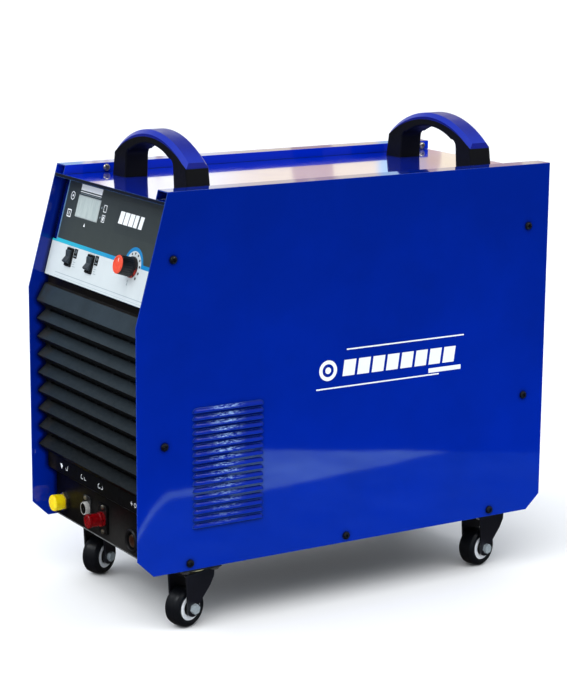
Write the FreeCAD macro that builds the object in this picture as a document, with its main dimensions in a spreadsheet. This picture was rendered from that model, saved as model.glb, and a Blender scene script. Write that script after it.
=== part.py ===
import FreeCAD, Part
import Sketcher
import math
import os

# A plasma cutter: a folded sheet case on four casters, with two handles on top.
# Millimetres. +Z is up, the front faces -Y and the origin lies on the floor below the
# middle of the whole outline. The parts are drawn about the middle of the side panels
# and moved back by origin_shift at the end.

Vector = FreeCAD.Vector
Rotation = FreeCAD.Rotation
Placement = FreeCAD.Placement
X_DIR, Y_DIR, Z_DIR = Vector(1, 0, 0), Vector(0, 1, 0), Vector(0, 0, 1)

os.makedirs("parts", exist_ok=True)
doc = FreeCAD.newDocument("plasma_cutter")

# Driving dimensions: alias, value, note
DIMENSIONS = [
    ("case_z", 78.5, "height of the case's lower edge above the floor"),
    ("case_len", 600.0, "length of the side panels, front to back"),
    ("case_wid", 295.0, "outside width over both side panels"),
    ("case_ht", 460.6, "height of the side panels"),
    ("wall", 1.2, "sheet thickness of the side panels"),
    ("slope_z", 305.4, "height where the front edge starts to lean back"),
    ("slope_run", 42.9, "how far the front edge leans back at the top"),
    ("cham_front_run", 21.5, "front lower corner cut, along the length"),
    ("cham_front_rise", 20.9, "front lower corner cut, upwards"),
    ("cham_rear_run", 21.0, "rear lower corner cut, along the length"),
    ("cham_rear_rise", 19.2, "rear lower corner cut, upwards"),
    ("fold_w", 24.5, "width of the fold along the top edge"),
    ("hem_ht", 11.5, "height of the hem below the fold"),
    ("fascia_rec", 18.2, "recess of the control fascia behind the front edge"),
    ("fin_pitch", 23.75, "pitch of the front grille fins"),
    ("first_tip", 288.0, "height of the first fin's tip above the lower edge"),
    ("tip_rec", 10.0, "recess of the fin tips"),
    ("root_rec", 22.0, "recess of the fin roots"),
    ("conn_rec", 34.8, "recess of the connector panel"),
    ("rear_rec", 20.0, "recess of the rear panel"),
    ("cover_z", 449.0, "height of the top cover's upper face above the lower edge"),
    ("screw_head_dia", 9.5, "head diameter of the panel screws"),
    ("screw_shank_dia", 4.8, "shank diameter of the panel screws"),
    ("screw_hole_dia", 5.5, "clearance hole of the panel screws"),
    ("louvre_pitch", 8.9, "pitch of the side louvres"),
    ("louvre_span", 98.5, "length of one louvre"),
    ("louvre_low", 52.0, "lower end of the louvre field"),
    ("louvre_mid_y", -176.2, "middle of the louvre field along the length"),
    ("wheel_dia", 50.0, "caster wheel diameter"),
    ("tyre_wid", 24.0, "caster tyre width"),
    ("axle_dia", 8.0, "caster axle bolt diameter"),
    ("kingpin_dia", 10.0, "caster kingpin diameter"),
    ("trail", 13.0, "offset between the kingpin and the axle"),
    ("handle_wid", 196.0, "handle width at its feet"),
    ("handle_dep", 32.0, "handle depth"),
    ("handle_front_y", -204.0, "front face of the front handle"),
    ("handle_rear_y", 212.0, "front face of the rear handle"),
    ("knob_dia", 24.0, "current knob diameter"),
    ("knob_ht", 22.0, "current knob height"),
    ("pot_shaft_dia", 6.0, "potentiometer shaft diameter"),
    ("dinse_od", 30.4, "outside diameter of the output socket"),
    ("dinse_bore", 13.0, "bore of the output socket's contact"),
    ("outlet_dia", 16.0, "outside diameter of the air outlet thread"),
    ("fan_dia", 138.0, "bore of the fan frame"),
    ("cord_dia", 14.0, "mains cord diameter"),
    ("inlet_dia", 10.0, "hose tail diameter of the air inlet"),
    ("earth_dia", 8.0, "earth stud diameter"),
    ("origin_shift", 20.0,
     "from the middle of the side panels back to the middle of the whole outline"),
]


class Length:
    """A length that knows its number and the sheet expression behind it."""

    def __init__(self, value, expr):
        self.value = float(value)
        self.expr = expr

    def __add__(self, other):
        other = as_length(other)
        return Length(self.value + other.value, "(%s + %s)" % (self.expr, other.expr))

    def __sub__(self, other):
        other = as_length(other)
        return Length(self.value - other.value, "(%s - %s)" % (self.expr, other.expr))

    def __mul__(self, other):
        other = as_length(other)
        return Length(self.value * other.value, "(%s * %s)" % (self.expr, other.expr))

    def __rmul__(self, other):
        return as_length(other) * self

    def __truediv__(self, other):
        other = as_length(other)
        return Length(self.value / other.value, "(%s / %s)" % (self.expr, other.expr))

    def __neg__(self):
        return Length(-self.value, "(0 - %s)" % self.expr)


def as_length(value):
    return value if isinstance(value, Length) else Length(value, "(%.6f)" % float(value))


def num(value):
    return value.value if isinstance(value, Length) else float(value)


def vec(x, y, z=0.0):
    return Vector(num(x), num(y), num(z))


sheet = doc.addObject("Spreadsheet::Sheet", "Dims")
dim = {}
for row, (alias, value, note) in enumerate(DIMENSIONS, 1):
    sheet.set("A%d" % row, alias)
    sheet.set("B%d" % row, repr(value))
    sheet.set("C%d" % row, note)
    sheet.setAlias("B%d" % row, alias)
    dim[alias] = Length(value, "Dims." + alias)
doc.recompute()


# ---- Sketches ---------------------------------------------------------------
def bind(obj, prop, value):
    """Set a property, and bind it to the sheet if the value is a Length."""
    setattr(obj, prop, num(value))
    if isinstance(value, Length):
        obj.setExpression(prop, value.expr)


def origin_part(body, role):
    return next(part for part in body.Origin.OriginFeatures if part.Role == role)


def constrain(sketch, value, *args):
    index = sketch.addConstraint(Sketcher.Constraint(*args, num(value)))
    if isinstance(value, Length):
        sketch.setExpression("Constraints[%d]" % index, value.expr)


def pin(sketch, geo, vertex, x, y):
    """Fix a sketch point at x, y; a zero puts it on the axis."""
    for kind, value, axis in (("DistanceX", x, -2), ("DistanceY", y, -1)):
        if abs(num(value)) < 1e-9:
            sketch.addConstraint(Sketcher.Constraint("PointOnObject", geo, vertex, axis))
        else:
            constrain(sketch, value, kind, -1, 1, geo, vertex)


def add_loop(sketch, points):
    """A closed profile. A point is (x, y), or (x, y, mid_x, mid_y, radius) for an arc
    that starts there and passes near (mid_x, mid_y)."""
    following = points[1:] + points[:1]
    ends = []
    for point, after in zip(points, following):
        start, end = vec(*point[:2]), vec(*after[:2])
        if len(point) > 2:
            middle = vec(*point[2:4])
            ccw = (middle - start).cross(end - middle).z > 0
            arc = Part.Arc(start, middle, end) if ccw else Part.Arc(end, middle, start)
            geo = sketch.addGeometry(arc, False)
            ends.append((geo, 1, 2) if ccw else (geo, 2, 1))
        else:
            geo = sketch.addGeometry(Part.LineSegment(start, end), False)
            ends.append((geo, 1, 2))
    for (geo, _, last), (next_geo, first, _) in zip(ends, ends[1:] + ends[:1]):
        sketch.addConstraint(Sketcher.Constraint("Coincident", geo, last, next_geo, first))
    for (geo, first, _), point in zip(ends, points):
        pin(sketch, geo, first, point[0], point[1])
    for (geo, _, _), point in zip(ends, points):
        # only a radius that agrees with the three points is added
        if len(point) > 2 and abs(sketch.Geometry[geo].Radius - num(point[4])) < 1e-5:
            constrain(sketch, point[4], "Radius", geo)


def add_circle(sketch, x, y, radius):
    geo = sketch.addGeometry(Part.Circle(vec(x, y), Z_DIR, num(radius)), False)
    pin(sketch, geo, 3, x, y)
    constrain(sketch, radius, "Radius", geo)


def new_sketch(body, plane, name, offset, shapes):
    """A shape is a list of points (a loop) or a tuple (x, y, radius) (a circle).
    The normals of the planes are XY: +Z, YZ: +X, XZ: -Y."""
    sketch = body.newObject("Sketcher::SketchObject", name + "_sk")
    sketch.AttachmentSupport = [(origin_part(body, plane + "_Plane"), "")]
    sketch.MapMode = "FlatFace"
    sketch.AttachmentOffset = Placement(vec(0, 0, offset), Rotation())
    if isinstance(offset, Length):
        sketch.setExpression("AttachmentOffset.Base.z", offset.expr)
    for shape in shapes:
        if isinstance(shape, tuple):
            add_circle(sketch, *shape)
        else:
            add_loop(sketch, shape)
    return sketch


def rect(x0, y0, x1, y1):
    return [(x0, y0), (x1, y0), (x1, y1), (x0, y1)]


def round_rect(x1, y1, r):
    """A rectangle about the origin with corners at +-x1, +-y1 rounded to r."""
    mx, my = x1 - r * (1 - math.sqrt(0.5)), y1 - r * (1 - math.sqrt(0.5))
    return [(r - x1, -y1), (x1 - r, -y1, mx, -my, r), (x1, r - y1), (x1, y1 - r, mx, my, r),
            (x1 - r, y1), (r - x1, y1, -mx, my, r), (-x1, y1 - r), (-x1, r - y1, -mx, -my, r)]


def hexagon(radius, turn=0.0, x=0.0, y=0.0):
    angles = [math.radians(turn + a) for a in range(0, 360, 60)]
    return [(x + radius * math.cos(a), y + radius * math.sin(a)) for a in angles]


# ---- Bodies and their features ----------------------------------------------
PIECES = []


def keep(obj):
    """Mark an object for export; its Label becomes the file's name."""
    PIECES.append(obj)
    return obj


def new_body(name):
    return doc.addObject("PartDesign::Body", name)


def new_piece(name):
    return keep(new_body(name))


def extrude(body, kind, plane, name, offset, length, shapes, reverse):
    sketch = new_sketch(body, plane, name, offset, shapes)
    feature = body.newObject("PartDesign::" + kind, name)
    feature.Profile = sketch
    bind(feature, "Length", length)
    feature.Reversed = reverse
    doc.recompute()
    return feature


def pad(body, plane, name, offset, length, shapes, reverse=False):
    """Add material along the plane's normal, or against it if reversed."""
    extrude(body, "Pad", plane, name, offset, length, shapes, reverse)


def pocket(body, plane, name, offset, length, shapes, reverse=False):
    """Cut against the plane's normal, or along it if reversed."""
    before = body.Shape.Volume
    feature = extrude(body, "Pocket", plane, name, offset, length, shapes, reverse)
    if not body.Shape.Volume < before - 1e-6:
        raise RuntimeError("pocket cuts nothing: " + body.Label + " " + name)
    return feature


def revolve(body, name, profile, plane="XZ", axis="V_Axis"):
    sketch = new_sketch(body, plane, name, 0.0, [profile])
    feature = body.newObject("PartDesign::Revolution", name)
    feature.Profile = sketch
    feature.ReferenceAxis = (sketch, [axis])
    feature.Angle = 360
    doc.recompute()


def flutes(body, stem, count, top, depth, x, radius):
    """Round grooves around the body's z axis."""
    first = pocket(body, "XY", stem + "_flute", top, depth, [(x, 0.0, radius)])
    pattern = body.newObject("PartDesign::PolarPattern", stem + "_flutes")
    pattern.Originals = [first]
    pattern.Axis = (origin_part(body, "Z_Axis"), [""])
    pattern.Angle = 360
    pattern.Occurrences = count
    body.Tip = pattern
    doc.recompute()


def dress(body, kind, name, test, size):
    """Fillet or chamfer the tip's edges for which test(edge, middle) holds."""
    base = body.Tip
    names = []
    for i, edge in enumerate(base.Shape.Edges, 1):
        middle = edge.valueAt((edge.FirstParameter + edge.LastParameter) / 2.0)
        if test(edge, middle):
            names.append("Edge%d" % i)
    if not names:
        raise RuntimeError("no edges for " + name)
    feature = body.newObject("PartDesign::" + kind, name)
    feature.Base = (base, names)
    bind(feature, "Radius" if kind == "Fillet" else "Size", size)
    doc.recompute()


def along(edge, axis):
    if not isinstance(edge.Curve, Part.Line):
        return False
    return abs(abs(getattr(edge.Curve.Direction, axis)) - 1) < 1e-6


def place(obj, base, rotation=Rotation()):
    obj.Placement = Placement(vec(*base), rotation)
    for axis, value in zip("xyz", base):
        if isinstance(value, Length):
            obj.setExpression("Placement.Base." + axis, value.expr)


# ---- Plain Part objects -----------------------------------------------------
def primitive(kind, name, base, rotation=Rotation(), **sizes):
    obj = doc.addObject("Part::" + kind, name)
    for prop, value in sizes.items():
        bind(obj, prop, value)
    place(obj, base, rotation)
    return obj


def box(name, x, y, z, size_x, size_y, size_z):
    return primitive("Box", name, (x, y, z), Length=size_x, Width=size_y, Height=size_z)


def cylinder(name, x, y, z, radius, height, rotation=Rotation()):
    return primitive("Cylinder", name, (x, y, z), rotation, Radius=radius, Height=height)


def fuse(name, parts):
    obj = doc.addObject("Part::MultiFuse", name)
    obj.Shapes = parts
    obj.Refine = True
    return obj


def cut(name, base, tool):
    obj = doc.addObject("Part::Cut", name)
    obj.Base = base
    obj.Tool = tool
    return obj


def group(name, parts):
    obj = doc.addObject("Part::Compound", name)
    obj.Links = parts
    return obj


def mirror_x(name, source):
    obj = doc.addObject("Part::Mirroring", name)
    obj.Source = source
    obj.Normal = X_DIR
    return obj


def from_shape(name, shape):
    obj = doc.addObject("Part::Feature", name)
    obj.Shape = shape
    return obj


def copies(source, placements):
    """Copies of a body's shape at several places."""
    shapes = []
    for placement in placements:
        shape = source.Shape.copy()
        shape.Placement = placement
        shapes.append(shape)
    return shapes


# ---- Shared lengths ---------------------------------------------------------
case_z = dim["case_z"]
half_len = dim["case_len"] / 2
half_wid = dim["case_wid"] / 2
top_z = case_z + dim["case_ht"]
wall = dim["wall"]
slope_z = case_z + dim["slope_z"]
slope_run = dim["slope_run"]
slope_rise = dim["case_ht"] - dim["slope_z"]
lean = math.atan2(slope_rise.value, slope_run.value)
run_per_rise = slope_run.value / slope_rise.value
front = -half_len
inside_w = half_wid - wall - 0.2        # half width of the folded parts in the case
plate_w = half_wid - wall - 0.5         # half width of the fascia and connector panel
SIDES = (-1, 1)

# side panel screws: (y, z above the lower edge)
FRONT_SCREWS = [(-250.6, 381.0), (-263.2, 157.8)]
LOW_SCREWS = [(-229.0, 8.6), (-5.3, 8.6), (218.0, 8.6)]
REAR_SCREWS = [(268.0, 157.6), (268.0, 381.0)]
SIDE_SCREWS = FRONT_SCREWS + LOW_SCREWS + REAR_SCREWS
HEM_SCREW_Y = [-200.0, 289.0]
hem_screw_z = top_z - dim["hem_ht"] / 2 - 0.4


def side_holes(screws):
    return [(y, case_z + z, dim["screw_hole_dia"] / 2) for y, z in screws]


# ---- Side panels: one folded sheet each, with a field of louvres ------------
panel = new_body("panel_sheet")
pad(panel, "YZ", "panel_side", half_wid - wall, wall, [[
    (front + dim["cham_front_run"], case_z),
    (half_len - dim["cham_rear_run"], case_z),
    (half_len, case_z + dim["cham_rear_rise"]),
    (half_len, top_z),
    (front + slope_run, top_z),
    (front, slope_z),
    (front, case_z + dim["cham_front_rise"])]])
# the fold and the hem along the top edge
fold_x = half_wid - dim["fold_w"]
pad(panel, "XZ", "panel_fold", -half_len, dim["case_len"], [[
    (fold_x, top_z - dim["hem_ht"]),
    (fold_x + wall, top_z - dim["hem_ht"]),
    (fold_x + wall, top_z - wall),
    (half_wid - wall - 0.4, top_z - wall),
    (half_wid - wall - 0.4, top_z - 1.6 * wall),
    (half_wid - 0.01, top_z - 1.6 * wall),
    (half_wid - 0.01, top_z - 0.01),
    (half_wid - 0.4, top_z),
    (fold_x, top_z)]])
# the front end of the fold follows the leaning edge
pocket(panel, "YZ", "fold_trim", fold_x - 1, dim["fold_w"] + 2, [[
    (front - 5, slope_z), (front, slope_z), (front + slope_run, top_z),
    (front + slope_run, top_z + 5), (front - 5, top_z + 5)]], reverse=True)
dress(panel, "Fillet", "panel_bend",
      lambda edge, mid: along(edge, "y") and mid.x > half_wid.value - 0.5
      and mid.z > top_z.value - 0.5 and edge.Length > 400, 0.38)
pocket(panel, "YZ", "panel_holes", half_wid - wall - 1, 4.0, side_holes(SIDE_SCREWS),
       reverse=True)
pocket(panel, "YZ", "hem_holes", fold_x - 1, 3.5,
       [(y, hem_screw_z, 2.3) for y in HEM_SCREW_Y], reverse=True)

# A louvre hood is the upper half of a capsule that stands out of the sheet.
LOUVRES = 17
HOOD_R = 6.2
HOOD_THICK = 1.0
HOOD_OUT = 3.0
HOOD_INSET = 5.4        # from the end of the louvre to the centre of its round end


def louvre_shapes():
    """The lowest louvre: the hood to add and the slot to cut."""
    side_x = half_wid.value
    span = dim["louvre_span"].value
    mid_y = dim["louvre_mid_y"].value
    axis_x = side_x + HOOD_OUT - HOOD_R
    low_z = (case_z + dim["louvre_low"]).value
    y0, y1 = mid_y - span / 2 + HOOD_INSET, mid_y + span / 2 - HOOD_INSET

    def capsule(radius):
        tube = Part.makeCylinder(radius, y1 - y0, Vector(axis_x, y0, low_z), Y_DIR)
        balls = [Part.makeSphere(radius, Vector(axis_x, y, low_z)) for y in (y0, y1)]
        return tube.fuse(balls).removeSplitter()

    box_y = mid_y - span / 2 - 10
    outer_box = Part.makeBox(20, span + 20, 20, Vector(side_x - wall.value / 2, box_y, low_z))
    inner_box = Part.makeBox(30, span + 20, 20,
                             Vector(side_x - wall.value - 3, box_y, low_z - 0.6))
    return (capsule(HOOD_R).common(outer_box),
            capsule(HOOD_R - HOOD_THICK).common(inner_box))


def louvre_field(name, shape):
    pitch = dim["louvre_pitch"].value
    rows = [shape.translated(Vector(0, 0, i * pitch)) for i in range(LOUVRES)]
    return from_shape(name, Part.makeCompound(rows))


hood, slot = louvre_shapes()
with_hoods = doc.addObject("Part::Fuse", "panel_with_hoods")
with_hoods.Base = panel
with_hoods.Tool = louvre_field("louvre_hoods", hood)
with_hoods.Refine = True
panel_right = keep(cut("side_panel_right", with_hoods, louvre_field("louvre_slots", slot)))
keep(mirror_x("side_panel_left", panel_right))

# ---- Base plate: a shallow tray with upturned edges -------------------------
FRONT_KINGPIN = (118.0, -210.5)
REAR_KINGPIN = (104.0, 242.0)
BOLT_HOLE_R = 3.3
plate_bolts = [(20.0 * sx, 20.0 * sy) for sx in SIDES for sy in SIDES]
caster_bolts = [(side * kx + x, ky + y) for kx, ky in (FRONT_KINGPIN, REAR_KINGPIN)
                for side in (1, -1) for x, y in plate_bolts]
rear_y = half_len - dim["rear_rec"]
base_front = front + dim["conn_rec"] + 1.6

base = new_piece("base_plate")
base_outline = rect(-inside_w, base_front, inside_w, rear_y)
pad(base, "XY", "base_floor", case_z, 1.5, [base_outline])
pad(base, "XY", "base_edges", case_z, 20.0, [
    base_outline,
    rect(-inside_w + 1.5, base_front + 1.5, inside_w - 1.5, rear_y - 1.5)])
pocket(base, "YZ", "base_side_holes", -inside_w - 1, 2 * inside_w + 2,
       side_holes(LOW_SCREWS), reverse=True)
pocket(base, "XY", "base_bolt_holes", case_z - 1, 4.0,
       [(x, y, BOLT_HOLE_R) for x, y in caster_bolts], reverse=True)
# the front edge is cut low behind the connectors
pocket(base, "XZ", "base_front_relief", -(base_front + 3.0), 5.0,
       [rect(-140, case_z + 8, 140, case_z + 26)], reverse=True)
# slots in the floor below the heat sinks
pocket(base, "XY", "base_vents", case_z - 1, 4.0,
       [rect(-50, y, 50, y + 5) for y in range(-90, 140, 12)], reverse=True)

# ---- Front frame: a folded bulkhead that carries the grille and the fascia --
FRAME_REC = 30.0        # recess of the flanges' front edges
FASCIA_THICK = 1.5
FLANGE = 1.3            # thickness of the side flanges, front frame and rear panel
WEB = 1.5               # thickness between the flanges
frame_front = front + FRAME_REC
frame_back = front + 75.0
fascia_y = front + dim["fascia_rec"]

frame = new_piece("front_frame")
pad(frame, "XY", "frame_u", case_z + 65, 379.0, [[
    (-inside_w, frame_front), (-inside_w + FLANGE, frame_front),
    (-inside_w + FLANGE, frame_back - WEB), (inside_w - FLANGE, frame_back - WEB),
    (inside_w - FLANGE, frame_front), (inside_w, frame_front),
    (inside_w, frame_back), (-inside_w, frame_back)]])
# the upper edge leans back with the fascia
slab = FASCIA_THICK / math.sin(lean)
meet_rise = (FRAME_REC - dim["fascia_rec"].value - slab) / run_per_rise
pocket(frame, "YZ", "frame_lean", -inside_w - 1, 2 * inside_w + 2, [[
    (frame_front - 5, slope_z + meet_rise), (frame_front, slope_z + meet_rise),
    (fascia_y + slab + run_per_rise * 150.0, slope_z + 150.0),
    (frame_front - 5, slope_z + 150.0)]], reverse=True)
pocket(frame, "XZ", "frame_window", -(frame_back + 1), 4.0,
       [rect(-118, case_z + 84, 118, case_z + 296)], reverse=True)
pocket(frame, "YZ", "frame_holes", -inside_w - 1, 2 * inside_w + 2,
       side_holes(FRONT_SCREWS), reverse=True)

# ---- Rear panel: folded forward along both sides ----------------------------
# middles of the rear fittings: (x, z above the lower edge)
FAN = (-48.0, 128.0)
BREAKER = (78.0, 370.0)
GLAND = (-78.0, 372.0)
REGULATOR = (58.0, 262.0)
EARTH = (112.0, 44.0)
rear_fold_y = rear_y - 27

rear = new_piece("rear_panel")
pad(rear, "XY", "rear_u", case_z + 21, 425.0, [[
    (-inside_w, rear_y), (-inside_w, rear_fold_y), (-inside_w + FLANGE, rear_fold_y),
    (-inside_w + FLANGE, rear_y - WEB), (inside_w - FLANGE, rear_y - WEB),
    (inside_w - FLANGE, rear_fold_y), (inside_w, rear_fold_y), (inside_w, rear_y)]])
breaker_x, breaker_z = BREAKER[0], case_z + BREAKER[1]
pocket(rear, "XZ", "rear_openings", -(rear_y + 1), 4.0, [
    (FAN[0], case_z + FAN[1], dim["fan_dia"] / 2),
    rect(breaker_x - 23.3, breaker_z - 22.3, breaker_x + 23.3, breaker_z + 22.3),
    (GLAND[0], case_z + GLAND[1], 12.3),
    (REGULATOR[0], case_z + REGULATOR[1], 7.2),
    (EARTH[0], case_z + EARTH[1], dim["earth_dia"] / 2 + 0.3)], reverse=True)
# ventilation slots high on the rear panel
pocket(rear, "XZ", "rear_slots", -(rear_y + 1), 4.0,
       [rect(-118, case_z + z, -8, case_z + z + 5) for z in range(236, 330, 12)],
       reverse=True)
pocket(rear, "YZ", "rear_side_holes", -inside_w - 1, 2 * inside_w + 2,
       side_holes(REAR_SCREWS), reverse=True)

# ---- Top cover: a plate between the hems, with a lip at front and rear ------
cover_z = case_z + dim["cover_z"]
cover_w = half_wid - wall - 0.3
lip_y = front + slope_run * (dim["cover_z"] - dim["slope_z"]) / slope_rise
handle_dep = dim["handle_dep"]
HANDLES = (("front", dim["handle_front_y"]), ("rear", dim["handle_rear_y"]))
HANDLE_BOLT_X = 80.0
handle_bolts = [(side * HANDLE_BOLT_X, y + handle_dep / 2) for _, y in HANDLES
                for side in SIDES]

cover = new_piece("top_cover")
pad(cover, "YZ", "cover_plate", -cover_w, 2 * cover_w, [[
    (lip_y, cover_z), (lip_y - 1.1, cover_z - 4.0), (lip_y + 0.3, cover_z - 4.0),
    (lip_y + 1.3, cover_z - 1.4), (half_len - 3.4, cover_z - 1.4),
    (half_len - 3.4, cover_z - 14), (half_len - 2, cover_z - 14), (half_len - 2, cover_z)]])
pad(cover, "XZ", "cover_flanges", 215.0, 460.0, [
    rect(cover_w - 1.3, cover_z - 16, cover_w, cover_z - 0.7),
    rect(-cover_w, cover_z - 16, -cover_w + 1.3, cover_z - 0.7)], reverse=True)
pocket(cover, "XY", "cover_holes", cover_z + 1, 4.0,
       [(x, y, BOLT_HOLE_R) for x, y in handle_bolts])

# ---- Front grille: nine wedge fins with air slots in the roots --------------
FINS = 9
tip_y = front + dim["tip_rec"]
root_y = front + dim["root_rec"]
fin_pitch = dim["fin_pitch"]
first_tip_z = case_z + dim["first_tip"]
grille_w = half_wid - wall - 0.6

grille_outline = [(front + 27.0, case_z + 318.0), (front + 27.0, case_z + 309.5),
                  (root_y, first_tip_z + 20.5)]
for i in range(FINS):
    tip_z = first_tip_z - fin_pitch * i
    grille_outline += [(tip_y, tip_z), (tip_y + 0.5, tip_z - 1.4), (root_y, tip_z - 11.2)]
    if i < FINS - 1:
        grille_outline.append((root_y, tip_z - 13.8))
grille_outline += [
    (root_y + 1.0, case_z + 86.0), (root_y + 1.0, case_z + 66.0),
    (front + 34.6, case_z + 57.5), (front + 34.6, case_z + 61.0),
    (front + 30.0, case_z + 64.6), (front + 30.0, case_z + 318.0)]

grille = new_piece("front_grille")
pad(grille, "YZ", "grille_fins", -grille_w, 2 * grille_w, [grille_outline])
slot_row = pocket(grille, "XZ", "grille_slots", -(front + 40.0), 30.0, [
    rect(x, first_tip_z - 13.7, x + 42.0, first_tip_z - 11.3)
    for x in [-132.0 + k * 44.4 for k in range(6)]], reverse=True)
slot_rows = grille.newObject("PartDesign::LinearPattern", "grille_slot_rows")
slot_rows.Originals = [slot_row]
slot_rows.Direction = (origin_part(grille, "Z_Axis"), [""])
slot_rows.Reversed = True
bind(slot_rows, "Length", fin_pitch * (FINS - 2))
slot_rows.Occurrences = FINS - 1
grille.Tip = slot_rows
doc.recompute()

# ---- Connector panel below the grille ---------------------------------------
conn_y = front + dim["conn_rec"]
# middles of the connectors: (x, z above the lower edge)
AIR_OUTLET = (-122.0, 22.5)
TRIGGER = (-55.0, 31.0)
PILOT = (-7.0, 29.6)
OUTPUT = (81.0, 25.5)
# screws of two connectors, from the connector's middle
TRIGGER_SCREWS = [(-3.4, 13.0), (3.4, -13.0)]
PILOT_SCREWS = [(2.0, 16.0), (2.0, -16.0)]


def screws_at(middle, offsets):
    return [(middle[0] + x, middle[1] + z) for x, z in offsets]


trigger_screws = screws_at(TRIGGER, TRIGGER_SCREWS)
pilot_screws = screws_at(PILOT, PILOT_SCREWS)

conn_panel = new_piece("connector_panel")
pad(conn_panel, "XZ", "panel_plate", -(conn_y + 1.5), 1.5,
    [rect(-plate_w, case_z + 0.3, plate_w, case_z + 61.8)])
conn_holes = [(AIR_OUTLET, dim["outlet_dia"] / 2 + 0.3), (TRIGGER, 8.3), (PILOT, 5.3),
              (OUTPUT, 12.3)]
conn_holes += [(middle, 1.8) for middle in trigger_screws + pilot_screws]
pocket(conn_panel, "XZ", "panel_cutouts", -(conn_y + 3), 6.0,
       [(x, case_z + z, radius) for (x, z), radius in conn_holes], reverse=True)

# ---- Control fascia. Local frame: x across, y up the slope, z out of the face
fascia_rot = Rotation(X_DIR, math.degrees(lean))
fascia_base = (0.0, fascia_y, slope_z)
KNOB = (76.0, 59.0)
ROCKERS = (-88.0, 46.0), (-30.0, 46.0)
WINDOW = (-100.0, 97.0, -39.0, 125.0)       # x0, y0, x1, y1


def on_fascia(x, y, z=0.0, tilt=0.0):
    return (Placement(vec(*fascia_base), fascia_rot)
            * Placement(Vector(x, y, z), Rotation(X_DIR, tilt)))


fascia_cuts = [(KNOB[0], KNOB[1], 5.0)]
fascia_cuts += [rect(x - 7.2, y - 10.7, x + 7.2, y + 10.7) for x, y in ROCKERS]
fascia_cuts.append(rect(WINDOW[0] - 0.2, WINDOW[1] - 0.2, WINDOW[2] + 0.2, WINDOW[3] + 0.2))

fascia = new_piece("fascia_plate")
pad(fascia, "XY", "fascia_sheet", -FASCIA_THICK, FASCIA_THICK,
    [rect(-plate_w, 16.0, plate_w, 146.0)])
pad(fascia, "XY", "fascia_lower_return", -6.5, 6.0, [rect(-plate_w, 16.0, plate_w, 17.5)])
pad(fascia, "XY", "fascia_upper_return", -12.0, 11.5,
    [rect(-plate_w + 2, 144.5, plate_w - 2, 146.0)])
pocket(fascia, "XY", "fascia_cutouts", 1.0, 4.0, fascia_cuts)
place(fascia, fascia_base, fascia_rot)

overlay = new_piece("control_overlay")
film_w = plate_w - 0.3
pad(overlay, "XY", "overlay_film", 0.0, 0.5, [[
    (-film_w, 16.3), (film_w, 16.3), (film_w, 62.5), (film_w - 10.2, 62.5),
    (film_w - 10.2, 142.0), (-film_w + 10.2, 142.0), (-film_w + 10.2, 62.5),
    (-film_w, 62.5)]])
pocket(overlay, "XY", "overlay_cutouts", 1.0, 3.0, fascia_cuts)
place(overlay, fascia_base, fascia_rot)

window = new_piece("display_window")
pad(window, "XY", "window_plate", -3.0, 4.0, [rect(*WINDOW)])
dress(window, "Fillet", "window_edge", lambda edge, mid: mid.z > 0.9, 0.5)
place(window, fascia_base, fascia_rot)


# ---- Rocker switches: a frame that snaps into the fascia, a rocker on its pin
PIVOT_Z = 1.2


def rocker_frame(name, x, y):
    body = new_body(name)
    pad(body, "XY", name + "_bezel", 0.5, 2.0, [round_rect(8.5, 11.8, 1.5)])
    pad(body, "XY", name + "_shell", -15.0, 16.0, [rect(-7.0, -10.4, 7.0, 10.4)])
    pocket(body, "XY", name + "_well", 3.0, 15.0, [rect(-6.3, -9.7, 6.3, 9.7)])
    for tab, tab_y in (("_tab_a", -6.4), ("_tab_b", 5.6)):
        pad(body, "XY", name + tab, -23.0, 8.2, [rect(-3.2, tab_y, 3.2, tab_y + 0.8)])
    pocket(body, "YZ", name + "_pin_holes", -7.1, 14.2, [(0.0, PIVOT_Z, 0.95)], reverse=True)
    body.Placement = on_fascia(x, y)
    return body


def rocker(name, x, y):
    body = new_piece(name)
    pad(body, "YZ", name + "_key", -5.9, 11.8, [[
        (-9.0, -1.2), (-5.0, -5.5), (5.0, -5.5), (9.0, -1.2), (8.3, 4.2), (7.0, 5.4),
        (0.0, 3.0), (-7.0, 5.4), (-8.3, 4.2)]])
    dress(body, "Fillet", name + "_soft", lambda edge, mid: not along(edge, "x")
          and mid.z > 3.5 and abs(abs(mid.x) - 5.9) < 0.01, 0.7)
    pad(body, "YZ", name + "_pin", -6.9, 13.8, [(0.0, 0.0, 0.9)])
    body.Placement = on_fascia(x, y, PIVOT_Z, tilt=-10)


keep(group("rocker_frames", [rocker_frame("rocker_frame_a", *ROCKERS[0]),
                             rocker_frame("rocker_frame_b", *ROCKERS[1])]))
rocker("rocker_left", *ROCKERS[0])
rocker("rocker_right", *ROCKERS[1])

# ---- Potentiometer and its knob ---------------------------------------------
pot_shaft_r = dim["pot_shaft_dia"] / 2
pot = new_piece("potentiometer")
pad(pot, "XY", "pot_can", -14.5, 12.5, [(0, 0, 12.0)])
pad(pot, "XY", "pot_bush", -2.5, 5.0, [(0, 0, 4.6)])
pad(pot, "XY", "pot_nut", 0.55, 2.0, [hexagon(6.5)])
pad(pot, "XY", "pot_shaft", 0.0, 17.0, [(0, 0, pot_shaft_r)])
pot.Placement = on_fascia(*KNOB)

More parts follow.
